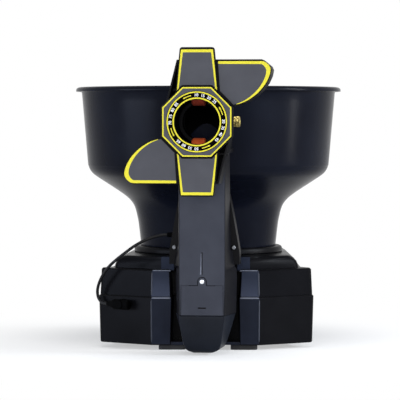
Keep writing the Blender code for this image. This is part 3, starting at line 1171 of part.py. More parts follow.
lead_points = smooth_route(lead_route, Vector((-1, 0, 0)), -face_along, 2)
lead_curve = bpy.data.curves.new("head_lead", "CURVE")
lead_curve.dimensions = "3D"
lead_curve.bevel_depth = LEAD_DIAMETER / 2
lead_curve.bevel_resolution = 2
lead_curve.use_fill_caps = True
lead_spline = lead_curve.splines.new("POLY")
lead_spline.points.add(len(lead_points) - 1)
for slot, point in zip(lead_spline.points, lead_points):
    slot.co = (*point, 1)
lead_curve.materials.append(LEAD_BLACK)
head_lead = bpy.data.objects.new("head_lead", lead_curve)
bpy.context.scene.collection.objects.link(head_lead)
head_lead.parent = assembly

# Mains inlet: a recessed socket with its flange on the rear wall
BACK_Y = BASE_BACK - DRAFT * 0.5


def rear_block(centre_x, half_x, half_z, grow, near, far):
    """A block at the sockets' height in the rear wall, from near to far outwards of the wall."""
    return block((centre_x - half_x - grow, BACK_Y + near, SOCKET_Z - half_z - grow),
                 (centre_x + half_x + grow, BACK_Y + far, SOCKET_Z + half_z + grow))


inlet_body = rear_block(INLET_X, *INLET_HALF, -GAP, -18 * MM, 2 * MM)
inlet = link("power_inlet", inlet_body, INNER_BLACK)
inlet_flange = rear_block(INLET_X, *INLET_HALF, 2.6 * MM, 1.6 * MM, 3.6 * MM)
combine(inlet, inlet_flange, "UNION", "flange")
inlet_well = rear_block(INLET_X, 11.5 * MM, 7.5 * MM, 0, -14 * MM, 8 * MM)
combine(inlet, inlet_well, name="well")
BLADE_STEP = 7 * MM
for k in (-1, 0, 1):
    blade = rear_block(INLET_X + k * BLADE_STEP, 1 * MM, 2 * MM, 0, -15 * MM, -1 * MM)
    combine(inlet, blade, "UNION", "blade")

# Mains switch: a frame in the rear wall and a rocker on a cross axis inside it
frame_body = rear_block(SWITCH_X, *SWITCH_HALF, -GAP, -14 * MM, 2 * MM)
switch_frame = link("switch_frame", frame_body, INNER_BLACK)
frame_flange = rear_block(SWITCH_X, *SWITCH_HALF, 1.6 * MM, 1.6 * MM, 3.4 * MM)
combine(switch_frame, frame_flange, "UNION", "flange")
ROCKER_HALF = 8.4 * MM
ROCKER_HIGH = 5.2 * MM
frame_well = rear_block(SWITCH_X, ROCKER_HALF + 0.5 * MM, ROCKER_HIGH + 0.8 * MM, 0, -10 * MM, 8 * MM)
combine(switch_frame, frame_well, name="well")
rocker_section = [(-4, 0), (-2, 1 * MM - ROCKER_HIGH), (4.6, -ROCKER_HIGH),
                  (3.4, 0), (4.6, ROCKER_HIGH), (-2, ROCKER_HIGH - 1 * MM)]
rocker_outline = [(BACK_Y + y * MM, SOCKET_Z + z) for y, z in rocker_section]
rocker_shape = prism(rocker_outline, SWITCH_X - ROCKER_HALF, SWITCH_X + ROCKER_HALF, "X")
rocker = link("power_switch", rocker_shape, INNER_BLACK)
pivot(rocker, (SWITCH_X, BACK_Y, SOCKET_Z))

# Power supply and control board on bosses in the pan
PAN_FLOOR_Z = FOOT_HEIGHT + WALL
SUPPLY_RIGHT = BASE_BACK_HALF - 8 * MM
supply = block((SUPPLY_RIGHT - 76 * MM, -20 * MM, PAN_FLOOR_Z + GAP),
               (SUPPLY_RIGHT, BASE_BACK - 34 * MM, PAN_FLOOR_Z + 38 * MM))
soften(link("power_supply", supply, MOTOR_STEEL), 1 * MM, 1)
BOARD_MIDDLE = 42 * MM - BASE_BACK_HALF
BOARD_HALF = (36 * MM, 60 * MM)
BOARD_Z = PAN_FLOOR_Z + 6 * MM
BOARD_THICK = 1.6 * MM
POST_R = 3 * MM
board_shape = block((BOARD_MIDDLE - BOARD_HALF[0], -BOARD_HALF[1], BOARD_Z),
                    (BOARD_MIDDLE + BOARD_HALF[0], BOARD_HALF[1], BOARD_Z + BOARD_THICK))
board = link("control_board", board_shape, BOARD_GREEN)
for x in (5 * MM - BOARD_HALF[0], BOARD_HALF[0] - 5 * MM):
    for y in (6 * MM - BOARD_HALF[1], BOARD_HALF[1] - 6 * MM):
        post = rod(POST_R, PAN_FLOOR_Z + GAP, BOARD_Z + BOARD_THICK / 2, 8, centre=(BOARD_MIDDLE + x, y, 0))
        combine(board, post, "UNION", "post")

# Parts on the board, each as its place across and along, its two half widths and its height
BOARD_PARTS = ((-18, -30, 9, 12, 14), (8, 10, 14, 10, 5), (-16, 34, 7, 7, 18))
for x, y, half_x, half_y, tall in BOARD_PARTS:
    component = block((BOARD_MIDDLE + (x - half_x) * MM, (y - half_y) * MM, BOARD_Z + 1 * MM),
                      (BOARD_MIDDLE + (x + half_x) * MM, (y + half_y) * MM, BOARD_Z + (1 + tall) * MM))
    combine(board, component, "UNION", "component")

# The column and all that it carries stand turned about the sweep axis, as the last sweep left them
SWEPT = ("sector_gear", "column_", "pan_pin", "ball_tube", "jam_hatch", "hatch_screw", "shell_screw",
         "tilt_", "thumb_screw", "swivel_flange", "wheel_", "barrel", "bezel", "dial_ring", "cover_",
         "wing_")
swept = bpy.data.objects.new("swept_assembly", None)
bpy.context.scene.collection.objects.link(swept)
swept.parent = assembly
swept.location = PAN_AXIS
swept.rotation_euler.z = REST_SWEEP
for piece in list(assembly.children):
    if piece.name.startswith(SWEPT):
        piece.parent = swept
        piece.location -= Vector(PAN_AXIS)
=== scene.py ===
import json
import math

import bmesh
import bpy
import numpy as np
from mathutils import Matrix, Vector


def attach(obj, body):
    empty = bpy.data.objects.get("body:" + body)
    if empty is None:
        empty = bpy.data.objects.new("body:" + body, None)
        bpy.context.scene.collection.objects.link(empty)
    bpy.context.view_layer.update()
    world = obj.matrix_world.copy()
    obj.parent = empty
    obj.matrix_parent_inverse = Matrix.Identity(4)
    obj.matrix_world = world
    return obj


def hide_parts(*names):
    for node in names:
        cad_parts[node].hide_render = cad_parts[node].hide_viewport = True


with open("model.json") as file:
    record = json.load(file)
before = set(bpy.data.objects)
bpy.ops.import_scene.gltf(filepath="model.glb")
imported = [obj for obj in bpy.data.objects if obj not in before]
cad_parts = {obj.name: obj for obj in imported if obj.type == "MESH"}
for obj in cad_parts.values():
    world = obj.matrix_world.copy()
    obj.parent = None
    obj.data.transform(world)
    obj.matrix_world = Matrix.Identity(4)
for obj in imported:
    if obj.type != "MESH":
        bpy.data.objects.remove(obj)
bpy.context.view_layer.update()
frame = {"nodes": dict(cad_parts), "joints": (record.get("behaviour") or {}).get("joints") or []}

# Base pan and feet
# The pan is the base's lower half, injection-moulded in black ABS with two strips up its front, on which a
# faint navy sheen is painted. The feet are four pads of black rubber stuck under it.
NODES = frame["nodes"]
JOINTS = {joint["name"]: joint for joint in frame["joints"]}
MM = 0.001
# How far the hopper's axis, about which the feed turns, stands behind the origin
HOPPER_Y = JOINTS["feed_spin"]["pos_m"][1]
# How far before that axis the strips with the painted sheen begin
STRIPS_OUT = 128 * MM
# Edges sharper than this many degrees are rounded, and points closer than the gap are welded
SHARP_ANGLE, WELD_GAP = 38, 0.002 * MM
# Where most values of a noise lie, and of a patchy noise and a fine one added up
NOISE_SPAN, SUM_SPAN = (0.3, 0.7), (0.6, 1.4)
# A front of other colours: the normal's share along its direction where it starts and is full, the width of
# its edge, its patches in mm, and the height's share in its colour
FACING_SPAN, PAINT_EDGE, PAINT_PATCH, FADE_SHARE = (0.9, 0.97), 0.2 * MM, 30, 0.85


def linear(code):
    """A hex colour as linear RGBA: each channel over 255, taken off the sRGB curve."""
    channels = [int(code[k:k + 2], 16) / 255 for k in (1, 3, 5)]
    return tuple(c / 12.92 if c <= 0.04045 else ((c + 0.055) / 1.055) ** 2.4 for c in channels) + (1.0,)


def fill(node, inputs):
    """Link or set inputs of a node: a tuple from the first one on, or a dict by name or number."""
    pairs = inputs.items() if isinstance(inputs, dict) else enumerate(inputs)
    for key, value in pairs:
        if isinstance(value, bpy.types.NodeSocket):
            node.id_data.links.new(value, node.inputs[key])
        else:
            node.inputs[key].default_value = value


def add(tree, kind, inputs=(), **settings):
    """Add a node with its settings and inputs."""
    node = tree.nodes.new(kind)
    for key, value in settings.items():
        setattr(node, key, value)
    fill(node, inputs)
    return node


def grains(tree, size, stretch=(1, 1, 1)):
    """Fractal noise with grains about size mm across: the object's coordinates over that size."""
    place = add(tree, "ShaderNodeTexCoord").outputs["Object"]
    scale = tuple(s / (size * MM) for s in stretch)
    scaled = add(tree, "ShaderNodeMapping", {"Vector": place, "Scale": scale}).outputs[0]
    return add(tree, "ShaderNodeTexNoise", {"Vector": scaled, "Scale": 1.0, "Detail": 3.0}).outputs[0]


def finish(name, colours, patch, rough, grain, bump, metallic=0.0, sheen=0.5, stretch=(1, 1, 1)):
    """A surface that changes softly between two close colours, in patches. A fine grain lifts it by up to
    bump, and grain and patches together move its roughness. Patch, grain and bump are in mm: real grains of
    0.02 to 0.1 mm are too fine to show, so they are drawn at 0.2 to 0.8 mm. Sheen is the specular level, low
    on near-black plastics, whose grain breaks up what they mirror."""
    material = bpy.data.materials.new(name)
    material.use_nodes = True
    tree = material.node_tree
    broad = add(tree, "ShaderNodeMapRange", (grains(tree, patch), *NOISE_SPAN, 0.0, 1.0)).outputs[0]
    fine = grains(tree, grain, stretch)
    ramp = add(tree, "ShaderNodeValToRGB", (broad,))
    for stop, colour in zip(ramp.color_ramp.elements, colours):
        stop.color = linear(colour)
    both = add(tree, "ShaderNodeMath", (fine, broad), operation="ADD").outputs[0]
    fill(tree.nodes["Principled BSDF"], {
        "Base Color": ramp.outputs[0],
        "Roughness": add(tree, "ShaderNodeMapRange", (both, *SUM_SPAN, *rough)).outputs[0],
        "Normal": add(tree, "ShaderNodeBump", {"Height": fine, "Distance": bump * MM}).outputs[0],
        "Metallic": metallic, "Specular IOR Level": sheen})
    return material


def paint_front(material, colours, direction, reach, fade=None):
    """Other colours where a surface faces a direction and lies at least reach metres out along it: the dot
    products of the normal and of the place with the direction, each stretched to run from 0 to 1, times each
    other. The colours change in patches, or with fade mostly from its lower height to its upper one."""
    tree = material.node_tree
    shader = tree.nodes["Principled BSDF"]
    ground = shader.inputs["Base Color"].links[0].from_socket
    place = add(tree, "ShaderNodeTexCoord").outputs
    turned, out = (add(tree, "ShaderNodeVectorMath", (place[kind], direction), operation="DOT_PRODUCT")
                   .outputs["Value"] for kind in ("Normal", "Object"))
    facing_it = add(tree, "ShaderNodeMapRange", (turned, *FACING_SPAN, 0.0, 1.0)).outputs[0]
    out_there = add(tree, "ShaderNodeMapRange", (out, reach - PAINT_EDGE, reach, 0.0, 1.0)).outputs[0]
    share = add(tree, "ShaderNodeMath", (facing_it, out_there), operation="MULTIPLY").outputs[0]
    change = add(tree, "ShaderNodeMapRange", (grains(tree, PAINT_PATCH), *NOISE_SPAN, 0.0, 1.0)).outputs[0]
    if fade:
        height = add(tree, "ShaderNodeSeparateXYZ", (place["Object"],)).outputs["Z"]
        rise = add(tree, "ShaderNodeMapRange", (height, *fade, 0.0, FADE_SHARE)).outputs[0]
        change = add(tree, "ShaderNodeMath", (change, 1 - FADE_SHARE, rise),
                     operation="MULTIPLY_ADD").outputs[0]
    ramp = add(tree, "ShaderNodeValToRGB", (change,))
    for stop, colour in zip(ramp.color_ramp.elements, colours):
        stop.color = linear(colour)
    mix = add(tree, "ShaderNodeMix", {0: share, 6: ground, 7: ramp.outputs[0]}, data_type="RGBA").outputs[2]
    fill(shader, {"Base Color": mix})


def round_edges(piece, width):
    """Weld a node's loose faces, turn its sharp edges into arcs of a width in metres, weld the slivers that
    are left, and weight the normals by the faces' areas."""
    piece.modifiers.new("weld", "WELD").merge_threshold = WELD_GAP
    bevel = piece.modifiers.new("rounded", "BEVEL")
    bevel.width = width
    bevel.segments = 3
    bevel.limit_method = "ANGLE"
    bevel.angle_limit = math.radians(SHARP_ANGLE)
    bevel.use_clamp_overlap = True
    bevel.miter_outer = "MITER_ARC"
    piece.modifiers.new("slivers", "WELD").merge_threshold = WELD_GAP
    piece.modifiers.new("normals", "WEIGHTED_NORMAL").keep_sharp = False


def dress(material, **rounds):
    """Give CAD nodes their finish, and round the edges of each by its width in mm, unless that is 0."""
    for name, width in rounds.items():
        slots = NODES[name].data.materials
        slots.clear()
        slots.append(material)
        if width:
            round_edges(NODES[name], width * MM)


# Black ABS from a spark-eroded tool: near black, softly glossy; a faint navy sheen is painted on the strips
PAN_SHELL = finish("black_abs_pan", ("#060608", "#0A0A0D"), patch=60, rough=(0.26, 0.36), grain=0.5,
                   bump=0.012, sheen=0.035)
# Painted reflection: faces of the strips that turn to the front take a navy colour for the blue light they
# mirror
paint_front(PAN_SHELL, ("#191C26", "#1E222D"), (0, -1, 0), STRIPS_OUT - HOPPER_Y)
# Moulded rubber: dull dark grey, with no clear reflection
RUBBER = finish("black_rubber", ("#121213", "#19191B"), patch=15, rough=(0.7, 0.85), grain=0.6, bump=0.03)
dress(PAN_SHELL, base_pan=1.6)
dress(RUBBER, foot_front_left=0.8, foot_front_right=0.8, foot_rear_left=0.8, foot_rear_right=0.8)

# Power supply, control board, inlet and switch
# A supply in a folded aluminium case and an etched board are screwed down in the pan. A moulded inlet and a
# rocker switch in its frame are snapped into the back wall.

# Aluminium sheet, rolled and folded: pale grey metal with faint lines along it
SHEET = finish("folded_aluminium", ("#A9ACB0", "#B7BABD"), patch=25, rough=(0.32, 0.45), grain=0.5,
               bump=0.006, metallic=1.0, stretch=(0.05, 1, 1))
# Solder mask over copper: a glossy bottle green
BOARD = finish("green_solder_mask", ("#12502B", "#1A6338"), patch=4, rough=(0.3, 0.45), grain=0.8, bump=0.02)
# Black plastic of the inner mouldings, left unpolished: a flat black, made darker than it is as painted
# shade in the deep bore
INNER = finish("black_matt_plastic", ("#010102", "#030303"), patch=30, rough=(0.6, 0.72), grain=0.5,
               bump=0.015, sheen=0.02)
dress(SHEET, power_supply=0.6)
dress(BOARD, control_board=0.2)
dress(INNER, power_inlet=0.5, switch_frame=0.5, power_switch=0.5)

# Base cover
# The base's upper half, moulded in the same black ABS and screwed down on the pan, with a navy sheen painted
# on its strips. Low ridges are moulded along its strips and the pan's: at the top edge, along the seam and
# down the outer side. Their pale grey colour is a painted highlight.

# The heights between which the painted sheen on the strips changes colour
STRIP_SHEEN_FADE = (64 * MM, 88 * MM)
# Points along a bead and across it
BEAD_STATIONS, BEAD_ROUND = 25, 9
# The power that keeps a bead full for most of its length, and the share of its height left at the ends
BEAD_FLATNESS, BEAD_END = 16, 0.05
# How far out the strips' inner sides stand, in mm, and where the beads along the top edge and along the seam
# lie: the distance behind the hopper's axis, below nought as they are before it, and the height
STRIP_INSIDE, TOP_EDGE, SEAM_EDGE = 41, (-146.5, 94.6), (-149.95, 62.3)


def put(name, data):
    """An object in the scene, at the origin, of a mesh, curve, light or camera."""
    made = bpy.data.objects.new(name, data)
    bpy.context.scene.collection.objects.link(made)
    return made


def close_shell(mesh):
    """Merge points that coincide, as at a pole, drop those without a face, and turn the faces outwards."""
    shell = bmesh.new()
    shell.from_mesh(mesh)
    bmesh.ops.remove_doubles(shell, verts=shell.verts, dist=WELD_GAP / 2)
    bmesh.ops.delete(shell, geom=[point for point in shell.verts if not point.link_faces], context="VERTS")
    bmesh.ops.recalc_face_normals(shell, faces=shell.faces)
    shell.to_mesh(mesh)
    shell.free()


def piece_from(name, points, quads, material, body, smooth=40, caps=()):
    """A closed piece that rides on a body, from an array of points, one of quads, and lists of points for
    the faces with more corners. Edges sharper than smooth, in degrees, stay sharp."""
    mesh = bpy.data.meshes.new(name)
    mesh.from_pydata(points.tolist(), [], quads.tolist() + list(caps))
    mesh.validate()
    close_shell(mesh)
    mesh.materials.append(material)
    mesh.shade_smooth()
    mesh.set_sharp_from_angle(angle=math.radians(smooth))
    made = put(name, mesh)
    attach(made, body)
    return made


def grid_faces(rows, columns, close_rows=False, close_columns=True):
    """Quads of a grid of points numbered row by row: each joins a point, the next in its row, and both their
    neighbours in the next row."""
    r = np.arange(rows if close_rows else rows - 1)
    c = np.arange(columns if close_columns else columns - 1)
    r, c = (axis.ravel() for axis in np.meshgrid(r, c, indexing="ij"))
    up, right = (r + 1) % rows, (c + 1) % columns
    return np.stack([r * columns + c, r * columns + right, up * columns + right, up * columns + c], axis=1)


def bead(name, start, stop, half, proud, material):
    """A ridge from start to stop, in mm about the hopper's axis. Across it is half a wave, half cos a +
    proud sin a, and along it that is times 1 less a high power of the share of the way from the middle."""
    share = np.linspace(0, 1, BEAD_STATIONS)[:, None, None]
    size = np.maximum(1 - np.abs(2 * share - 1) ** BEAD_FLATNESS, BEAD_END)
    angle = np.linspace(0, math.pi, BEAD_ROUND)[None, :, None]
    start, stop, half, proud = (np.array(v, float)[None, None] for v in (start, stop, half, proud))
    points = start + (stop - start) * share + size * (half * np.cos(angle) + proud * np.sin(angle))
    count = BEAD_STATIONS * BEAD_ROUND
    caps = [list(range(BEAD_ROUND))[::-1], list(range(count - BEAD_ROUND, count))]
    piece_from(name, points.reshape(-1, 3) * MM + (0, HOPPER_Y, 0), grid_faces(BEAD_STATIONS, BEAD_ROUND),
               material, "base", caps=caps)


# The pan's ABS, with a clearer navy sheen painted on its strips as painted reflection, darker towards the
# deck
LID_SHELL = finish("black_abs_lid", ("#060608", "#0A0A0D"), patch=60, rough=(0.26, 0.36), grain=0.5,
                   bump=0.012, sheen=0.018)
# Painted reflection on the strips: lighter low down, darker towards the deck
paint_front(LID_SHELL, ("#3A3F4E", "#242936"), (0, -1, 0), STRIPS_OUT - HOPPER_Y, STRIP_SHEEN_FADE)
# Painted highlight down the strips' outer edges: a thin dull grey line where they catch the light
EDGE_HIGHLIGHT = finish("rubbed_black_abs", ("#2E323C", "#3A3E49"), patch=10, rough=(0.36, 0.46), grain=0.35,
              bump=0.004, sheen=0.2)
# Painted highlight on edges and banks that turn up to the light: a thin pale grey line with a satin gloss
BANK_HIGHLIGHT = finish("grey_satin_bank", ("#5C606C", "#6A6E7A"), patch=8, rough=(0.36, 0.46), grain=0.35,
              bump=0.004, sheen=0.2)
dress(LID_SHELL, base_cover=1.6)
for name, side in (("left", -1), ("right", 1)):
    bead("strip_top_" + name, start=(side * STRIP_INSIDE, *TOP_EDGE), stop=(side * 63.2, *TOP_EDGE),
         half=(0, 0, 0.8), proud=(0, -0.85, 0.5), material=BANK_HIGHLIGHT)
    bead("strip_seam_" + name, start=(side * STRIP_INSIDE, *SEAM_EDGE), stop=(side * 64.2, *SEAM_EDGE),
         half=(0, 0, 0.85), proud=(0, -0.3, 0.1), material=BANK_HIGHLIGHT)
    bead("strip_side_low_" + name, start=(side * 64.0, -148.9, 9), stop=(side * 64.3, -149.9, 60.8),
         half=(0.75, 0.1, 0), proud=(0, -0.3, 0), material=EDGE_HIGHLIGHT)
    bead("strip_side_high_" + name, start=(side * 64.0, -148.6, 64.8), stop=(side * 63.4, -147.2, 93.2),
         half=(0.75, 0.1, 0), proud=(0, -0.3, 0), material=EDGE_HIGHLIGHT)

# Feed
# A nylon rotor on a steel shaft carries the balls round over a moulded floor to its one hole. A gear motor
# screwed under the floor turns it, and a moulded duct leads the balls forward to the column.

# Natural nylon, moulded and left plain: milky off-white, softly glossy
NYLON = finish("natural_nylon", ("#C4C3BA", "#D2D1C9"), patch=20, rough=(0.42, 0.55), grain=0.6, bump=0.01)
# Steel with bright zinc plating: pale, slightly blue metal with broad reflections
ZINC = finish("zinc_plated_steel", ("#B9BCC0", "#CACDD2"), patch=6, rough=(0.25, 0.4), grain=0.3,
              bump=0.004, metallic=1.0)
# Deep-drawn and nickel-plated steel: grey metal with fine lines along the draw
CAN = finish("drawn_motor_can", ("#9A9CA0", "#ABADB2"), patch=12, rough=(0.28, 0.42), grain=0.4,
             bump=0.006, metallic=1.0, stretch=(0.1, 1, 1))
dress(INNER, feed_floor=0.3, feed_duct=0.4)
dress(NYLON, feed_rotor=1.0)
dress(ZINC, feed_shaft=0)
dress(CAN, feed_gearmotor=0)

# Hopper and collar
# One blow-moulded bowl of black ABS with a rolled lip, standing in a moulded collar on the cover. A window
# in the front of its neck leaves the way to the duct open.
HOPPER_WALL = 2.8 * MM
# Radius and height, in mm: up the outside of the wall, and then over the lip to the inside
BOWL_LINE = np.array([(83.1, 110.8), (86.8, 144), (88.6, 154), (90.2, 161), (92.3, 167.2), (95.4, 172.4),
                      (99.8, 177.2), (105.2, 181.6), (113, 187.1), (127, 196.2), (139.5, 204.4),
                      (144.6, 208.6), (147.8, 213), (149.4, 217.4), (150.3, 222), (153.9, 264),
                      (157.6, 307)]) * MM
LIP_LINE = np.array([(158.3, 309.6), (160, 310.9), (162, 310.6), (163.6, 309.5), (164.8, 309.6), (165, 311),
                     (164.5, 312.9), (163, 314.3), (160.6, 314.95), (158, 315), (156.3, 314.3),
                     (155.4, 312.8)]) * MM
BOWL_SPLITS, BOWL_COLUMNS = 4, 192
# The window's half width and top; its sides stand on the columns that are this many from the front
WINDOW_HALF, WINDOW_TOP, WINDOW_SPAN = 23.4 * MM, 158.8 * MM, 9


def smooth_line(points, parts):
    """A Catmull-Rom curve through points: each span is a cubic of its four nearest ones, in equal parts."""
    padded = np.vstack([2 * points[0] - points[1], points, 2 * points[-1] - points[-2]])
    a, b, c, d = (padded[k:len(padded) - 3 + k, None] for k in range(4))
    t = np.linspace(0, 1, parts, endpoint=False)[None, :, None]
    spans = 0.5 * (2 * b + (c - a) * t + (2 * a - 5 * b + 4 * c - d) * t ** 2
                   + (3 * b - a - 3 * c + d) * t ** 3)
    return np.vstack([spans.reshape(-1, points.shape[1]), points[-1:]])


def offset_line(line, distance):
    """An open flat line moved sideways: each point goes along its normal, to the left of the way."""
    along = np.gradient(line, axis=0)
    along /= np.linalg.norm(along, axis=1)[:, None]
    return line + distance * np.stack([-along[:, 1], along[:, 0]], axis=1)


# Black ABS with a fine spark-eroded texture: near black, every reflection blurred
SHELL = finish("black_abs_textured", ("#060608", "#0A0A0D"), patch=60, rough=(0.32, 0.44), grain=0.5,
               bump=0.02, sheen=0.04)
# Black ABS, smooth from the blow mould: a soft navy gloss with wide, even highlights
BOWL = finish("black_abs_satin", ("#0A0B12", "#0E111A"), patch=90, rough=(0.21, 0.28), grain=0.8,
              bump=0.006, sheen=0.035)
dress(SHELL, hopper_collar=0.6)
dress(BOWL, hopper=0)

# A surface of revolution: the profile's radius and height, up the outside, over the lip and down the inside,
# turned about the hopper's axis. By the window the turn is the arcsine of its half width over the radius, so
# that its sides stand upright.
wall_line = smooth_line(BOWL_LINE, BOWL_SPLITS)
inner_line = offset_line(wall_line, HOPPER_WALL)
heights = np.sort(np.append(wall_line[:, 1], WINDOW_TOP))
outside, inside = (np.stack([np.interp(heights, line[:, 1], line[:, 0]), heights], axis=1)
                   for line in (wall_line, inner_line))
profile = np.vstack([outside, LIP_LINE, inside[::-1]])
from_front = (np.arange(BOWL_COLUMNS) + BOWL_COLUMNS // 2) % BOWL_COLUMNS - BOWL_COLUMNS // 2
turn = np.tile(from_front / BOWL_COLUMNS * math.tau, (len(profile), 1))
window_rows = profile[:, 1] <= WINDOW_TOP
window_turn = np.arcsin(WINDOW_HALF / profile[window_rows, 0])[:, None]
for side in (-1, 1):
    turn[np.ix_(window_rows, from_front == side * WINDOW_SPAN)] = side * window_turn
bowl_points = np.stack([profile[:, :1] * np.sin(turn), HOPPER_Y - profile[:, :1] * np.cos(turn),
                        np.repeat(profile[:, 1:], BOWL_COLUMNS, axis=1)], axis=-1)
bowl_quads = grid_faces(len(profile), BOWL_COLUMNS, close_rows=True)
between_sides = np.abs(from_front[bowl_quads % BOWL_COLUMNS]).max(1) <= WINDOW_SPAN
below_top = profile[bowl_quads // BOWL_COLUMNS, 1].max(1) <= WINDOW_TOP
# The wall's cut edge: quads from the outside to the inside, up both sides of the window and over its top
last_row, top_row = len(profile) - 1, int(np.searchsorted(heights, WINDOW_TOP))
row = np.arange(top_row)
cut_edge = []
for place, way in ((BOWL_COLUMNS - WINDOW_SPAN, 1), (WINDOW_SPAN, -1)):
    corners = np.stack([row, last_row - row, last_row - row - 1, row + 1][::way], axis=1)
    cut_edge.append(corners * BOWL_COLUMNS + place)
here = np.arange(-WINDOW_SPAN, WINDOW_SPAN) % BOWL_COLUMNS
after = (here + 1) % BOWL_COLUMNS
top_out, top_in = top_row * BOWL_COLUMNS, (last_row - top_row) * BOWL_COLUMNS
cut_edge.append(np.stack([top_out + here, top_in + here, top_in + after, top_out + after], axis=1))
hopper_bowl = piece_from("hopper_bowl", bowl_points.reshape(-1, 3),
                         np.vstack([bowl_quads[~(between_sides & below_top)]] + cut_edge), BOWL, "base",
                         smooth=60)
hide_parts("hopper")

# Sweep drive
# A moulded cradle arm reaches forward from the base and holds the column's steel pin in a turned brass bush.
# A motor's nylon pinion drives the nylon sector gear at the column's foot, which sweeps it left and right.

# Turned brass: a warm dull gold with fine tool marks
BRASS = finish("turned_brass", ("#94844A", "#B0A064"), patch=3, rough=(0.25, 0.38), grain=0.2, bump=0.006,
               metallic=1.0)
dress(INNER, cradle_arm=0.5)
dress(BRASS, pan_bush=0)
dress(ZINC, pan_pin=0)
dress(CAN, sweep_motor=0)
dress(NYLON, sweep_pinion=0.2, sector_gear=0.2)

# Column
# A steel spine and a moulded ball tube, closed in by a front and a rear shell of black ABS that a screw
# holds at each side. The front shell's face is painted grey, and a blue-grey nose ends the column's foot.

# Where the sweep axis stands, and how far the column, and with it the bore, is turned about it at rest
SWEEP_Y = JOINTS["column_sweep"]["pos_m"][1]
bore_way = JOINTS["head_roll"]["axis"]
SWEPT = -math.atan2(bore_way[0], bore_way[1])
# How far before the sweep axis the painted face lies
PANEL_FRONT = 28 * MM
# The paint also covers what faces forward up to this far behind the face
PAINT_WRAP = 0.8 * MM

# Grey satin paint sprayed on the face of black ABS: an even slate grey, softly glossy, with near-black sides
PANEL = finish("grey_satin_paint", ("#08080B", "#0C0C10"), patch=50, rough=(0.36, 0.46), grain=0.35,
               bump=0.01, sheen=0.08)
paint_front(PANEL, ("#30323A", "#373941"), (math.sin(SWEPT), -math.cos(SWEPT), 0),
            PANEL_FRONT - PAINT_WRAP - SWEEP_Y * math.cos(SWEPT))
# ABS coloured through and moulded: a dark blue-grey satin
NOSE = finish("blue_grey_abs", ("#111318", "#171A21"), patch=40, rough=(0.32, 0.42), grain=0.6, bump=0.01,
              sheen=0.06)
# Zinc plating gone dull: mid-grey metal with no sharp highlight
DULL_ZINC = finish("dull_zinc", ("#5C5E62", "#6A6C70"), patch=4, rough=(0.45, 0.6), grain=0.3, bump=0.006,
                   metallic=1.0)
dress(ZINC, column_spine=0.3)
dress(INNER, ball_tube=0)
dress(PANEL, column_shell=0.9)
dress(SHELL, column_rear_shell=1.0)
dress(DULL_ZINC, shell_screw_left=0, shell_screw_right=0)
dress(NOSE, column_nose=1.6)

# Jam hatch
# A small moulded door in the front shell, painted with it, held by one domed screw through its rounded tab.
# A thin black band of painted shade marks the gap round it, and the groove above it has a pale band of
# painted highlight on its left bank.
SCREW_Z = 86.2 * MM
# The tab's radius about the screw, and the points and end angles of its arc, in degrees
TAB_R, TAB_POINTS, TAB_ENDS = 5.15 * MM, 40, (-8, 188)
# The straight edge's height and half length, and the step from it to the arc
SEAM_Z, SEAM_REACH, SEAM_STEP = 81.65 * MM, 15.5 * MM, 0.2 * MM
# How far the seam reaches outside and inside the tab's edge, and above and below the straight one
SEAM_OVER, SEAM_UNDER, SEAM_UP, SEAM_DOWN = 0.35 * MM, 0.45 * MM, 0.3 * MM, 0.4 * MM
# The painted highlight on the groove's bank: its left side, upwards, and how far left its right side stands
BANK_LEFT, BANK_RIGHT = np.array([(-2.3, 94.6), (-1.7, 104), (-1.2, 119)]) * MM, -0.65 * MM
SEAM_THICK, BANK_THICK = 0.06 * MM, 0.05 * MM
# How far each ring of the screw's head lies in front of the sweep axis, and its radius, in mm
SCREW_LINE = np.array([(26.4, 0), (26.4, 1.45), (28.0, 1.5), (28.0, 2.55), (28.5, 2.68), (29.0, 2.6),
                       (29.5, 2.25), (29.85, 1.6), (30.02, 0.8), (30.06, 0)]) * MM
SCREW_COLUMNS = 64


def swept(points):
    """Points given about the sweep axis, y being negative in front, turned with the column and set at it."""
    x, y, z = points.T
    across, along = math.cos(SWEPT), math.sin(SWEPT)
    return np.stack([x * across - y * along, x * along + y * across + SWEEP_Y, z], axis=1)


def facing(outline, face, lift=0.0):
    """A flat outline stood up before the sweep axis. The face is how far before it and the height of the
    outline's zero; lift moves it on forward."""
    front, middle = face
    ahead = np.full(len(outline), front + lift)
    return swept(np.stack([outline[:, 0], -ahead, outline[:, 1] + middle], axis=1))


def band(name, outer, inner, face, material, body, thick):
    """A thin stripe between two open lines of equal count: both stand at the face and again thick before it,
    and the four lines are joined all round and closed at both ends."""
    count = len(outer)
    lines = [facing(outer, face), facing(outer, face, thick), facing(inner, face, thick),
             facing(inner, face)]
    sides = grid_faces(len(lines), count, close_rows=True, close_columns=False)
    ends = [[0, 3 * count, 2 * count, count], [count - 1, 2 * count - 1, 3 * count - 1, 4 * count - 1]]
    piece_from(name, np.vstack(lines), np.vstack([sides, ends]), material, body)


def seam_line(radius, rise):
    """The hatch's top edge about its screw: straight, up over the tab on an arc, and straight again."""
    angle = np.radians(np.linspace(*TAB_ENDS, TAB_POINTS))[::-1]
    over = radius * np.stack([np.cos(angle), np.sin(angle)], axis=1)
    level = SEAM_Z - SCREW_Z + rise
    return np.vstack([[(-SEAM_REACH, level), (over[0, 0] - SEAM_STEP, level)], over,
                      [(over[-1, 0] + SEAM_STEP, level), (SEAM_REACH, level)]])


# Polished steel, its colour raised to near white as a painted glint, with one clear highlight on the dome
BRIGHT = finish("polished_steel", ("#E6E7E9", "#F0F1F2"), patch=4, rough=(0.3, 0.4), grain=0.3, bump=0.002,
                metallic=0.6)
dress(PANEL, jam_hatch=0.3)
dress(ZINC, hatch_screw=0)
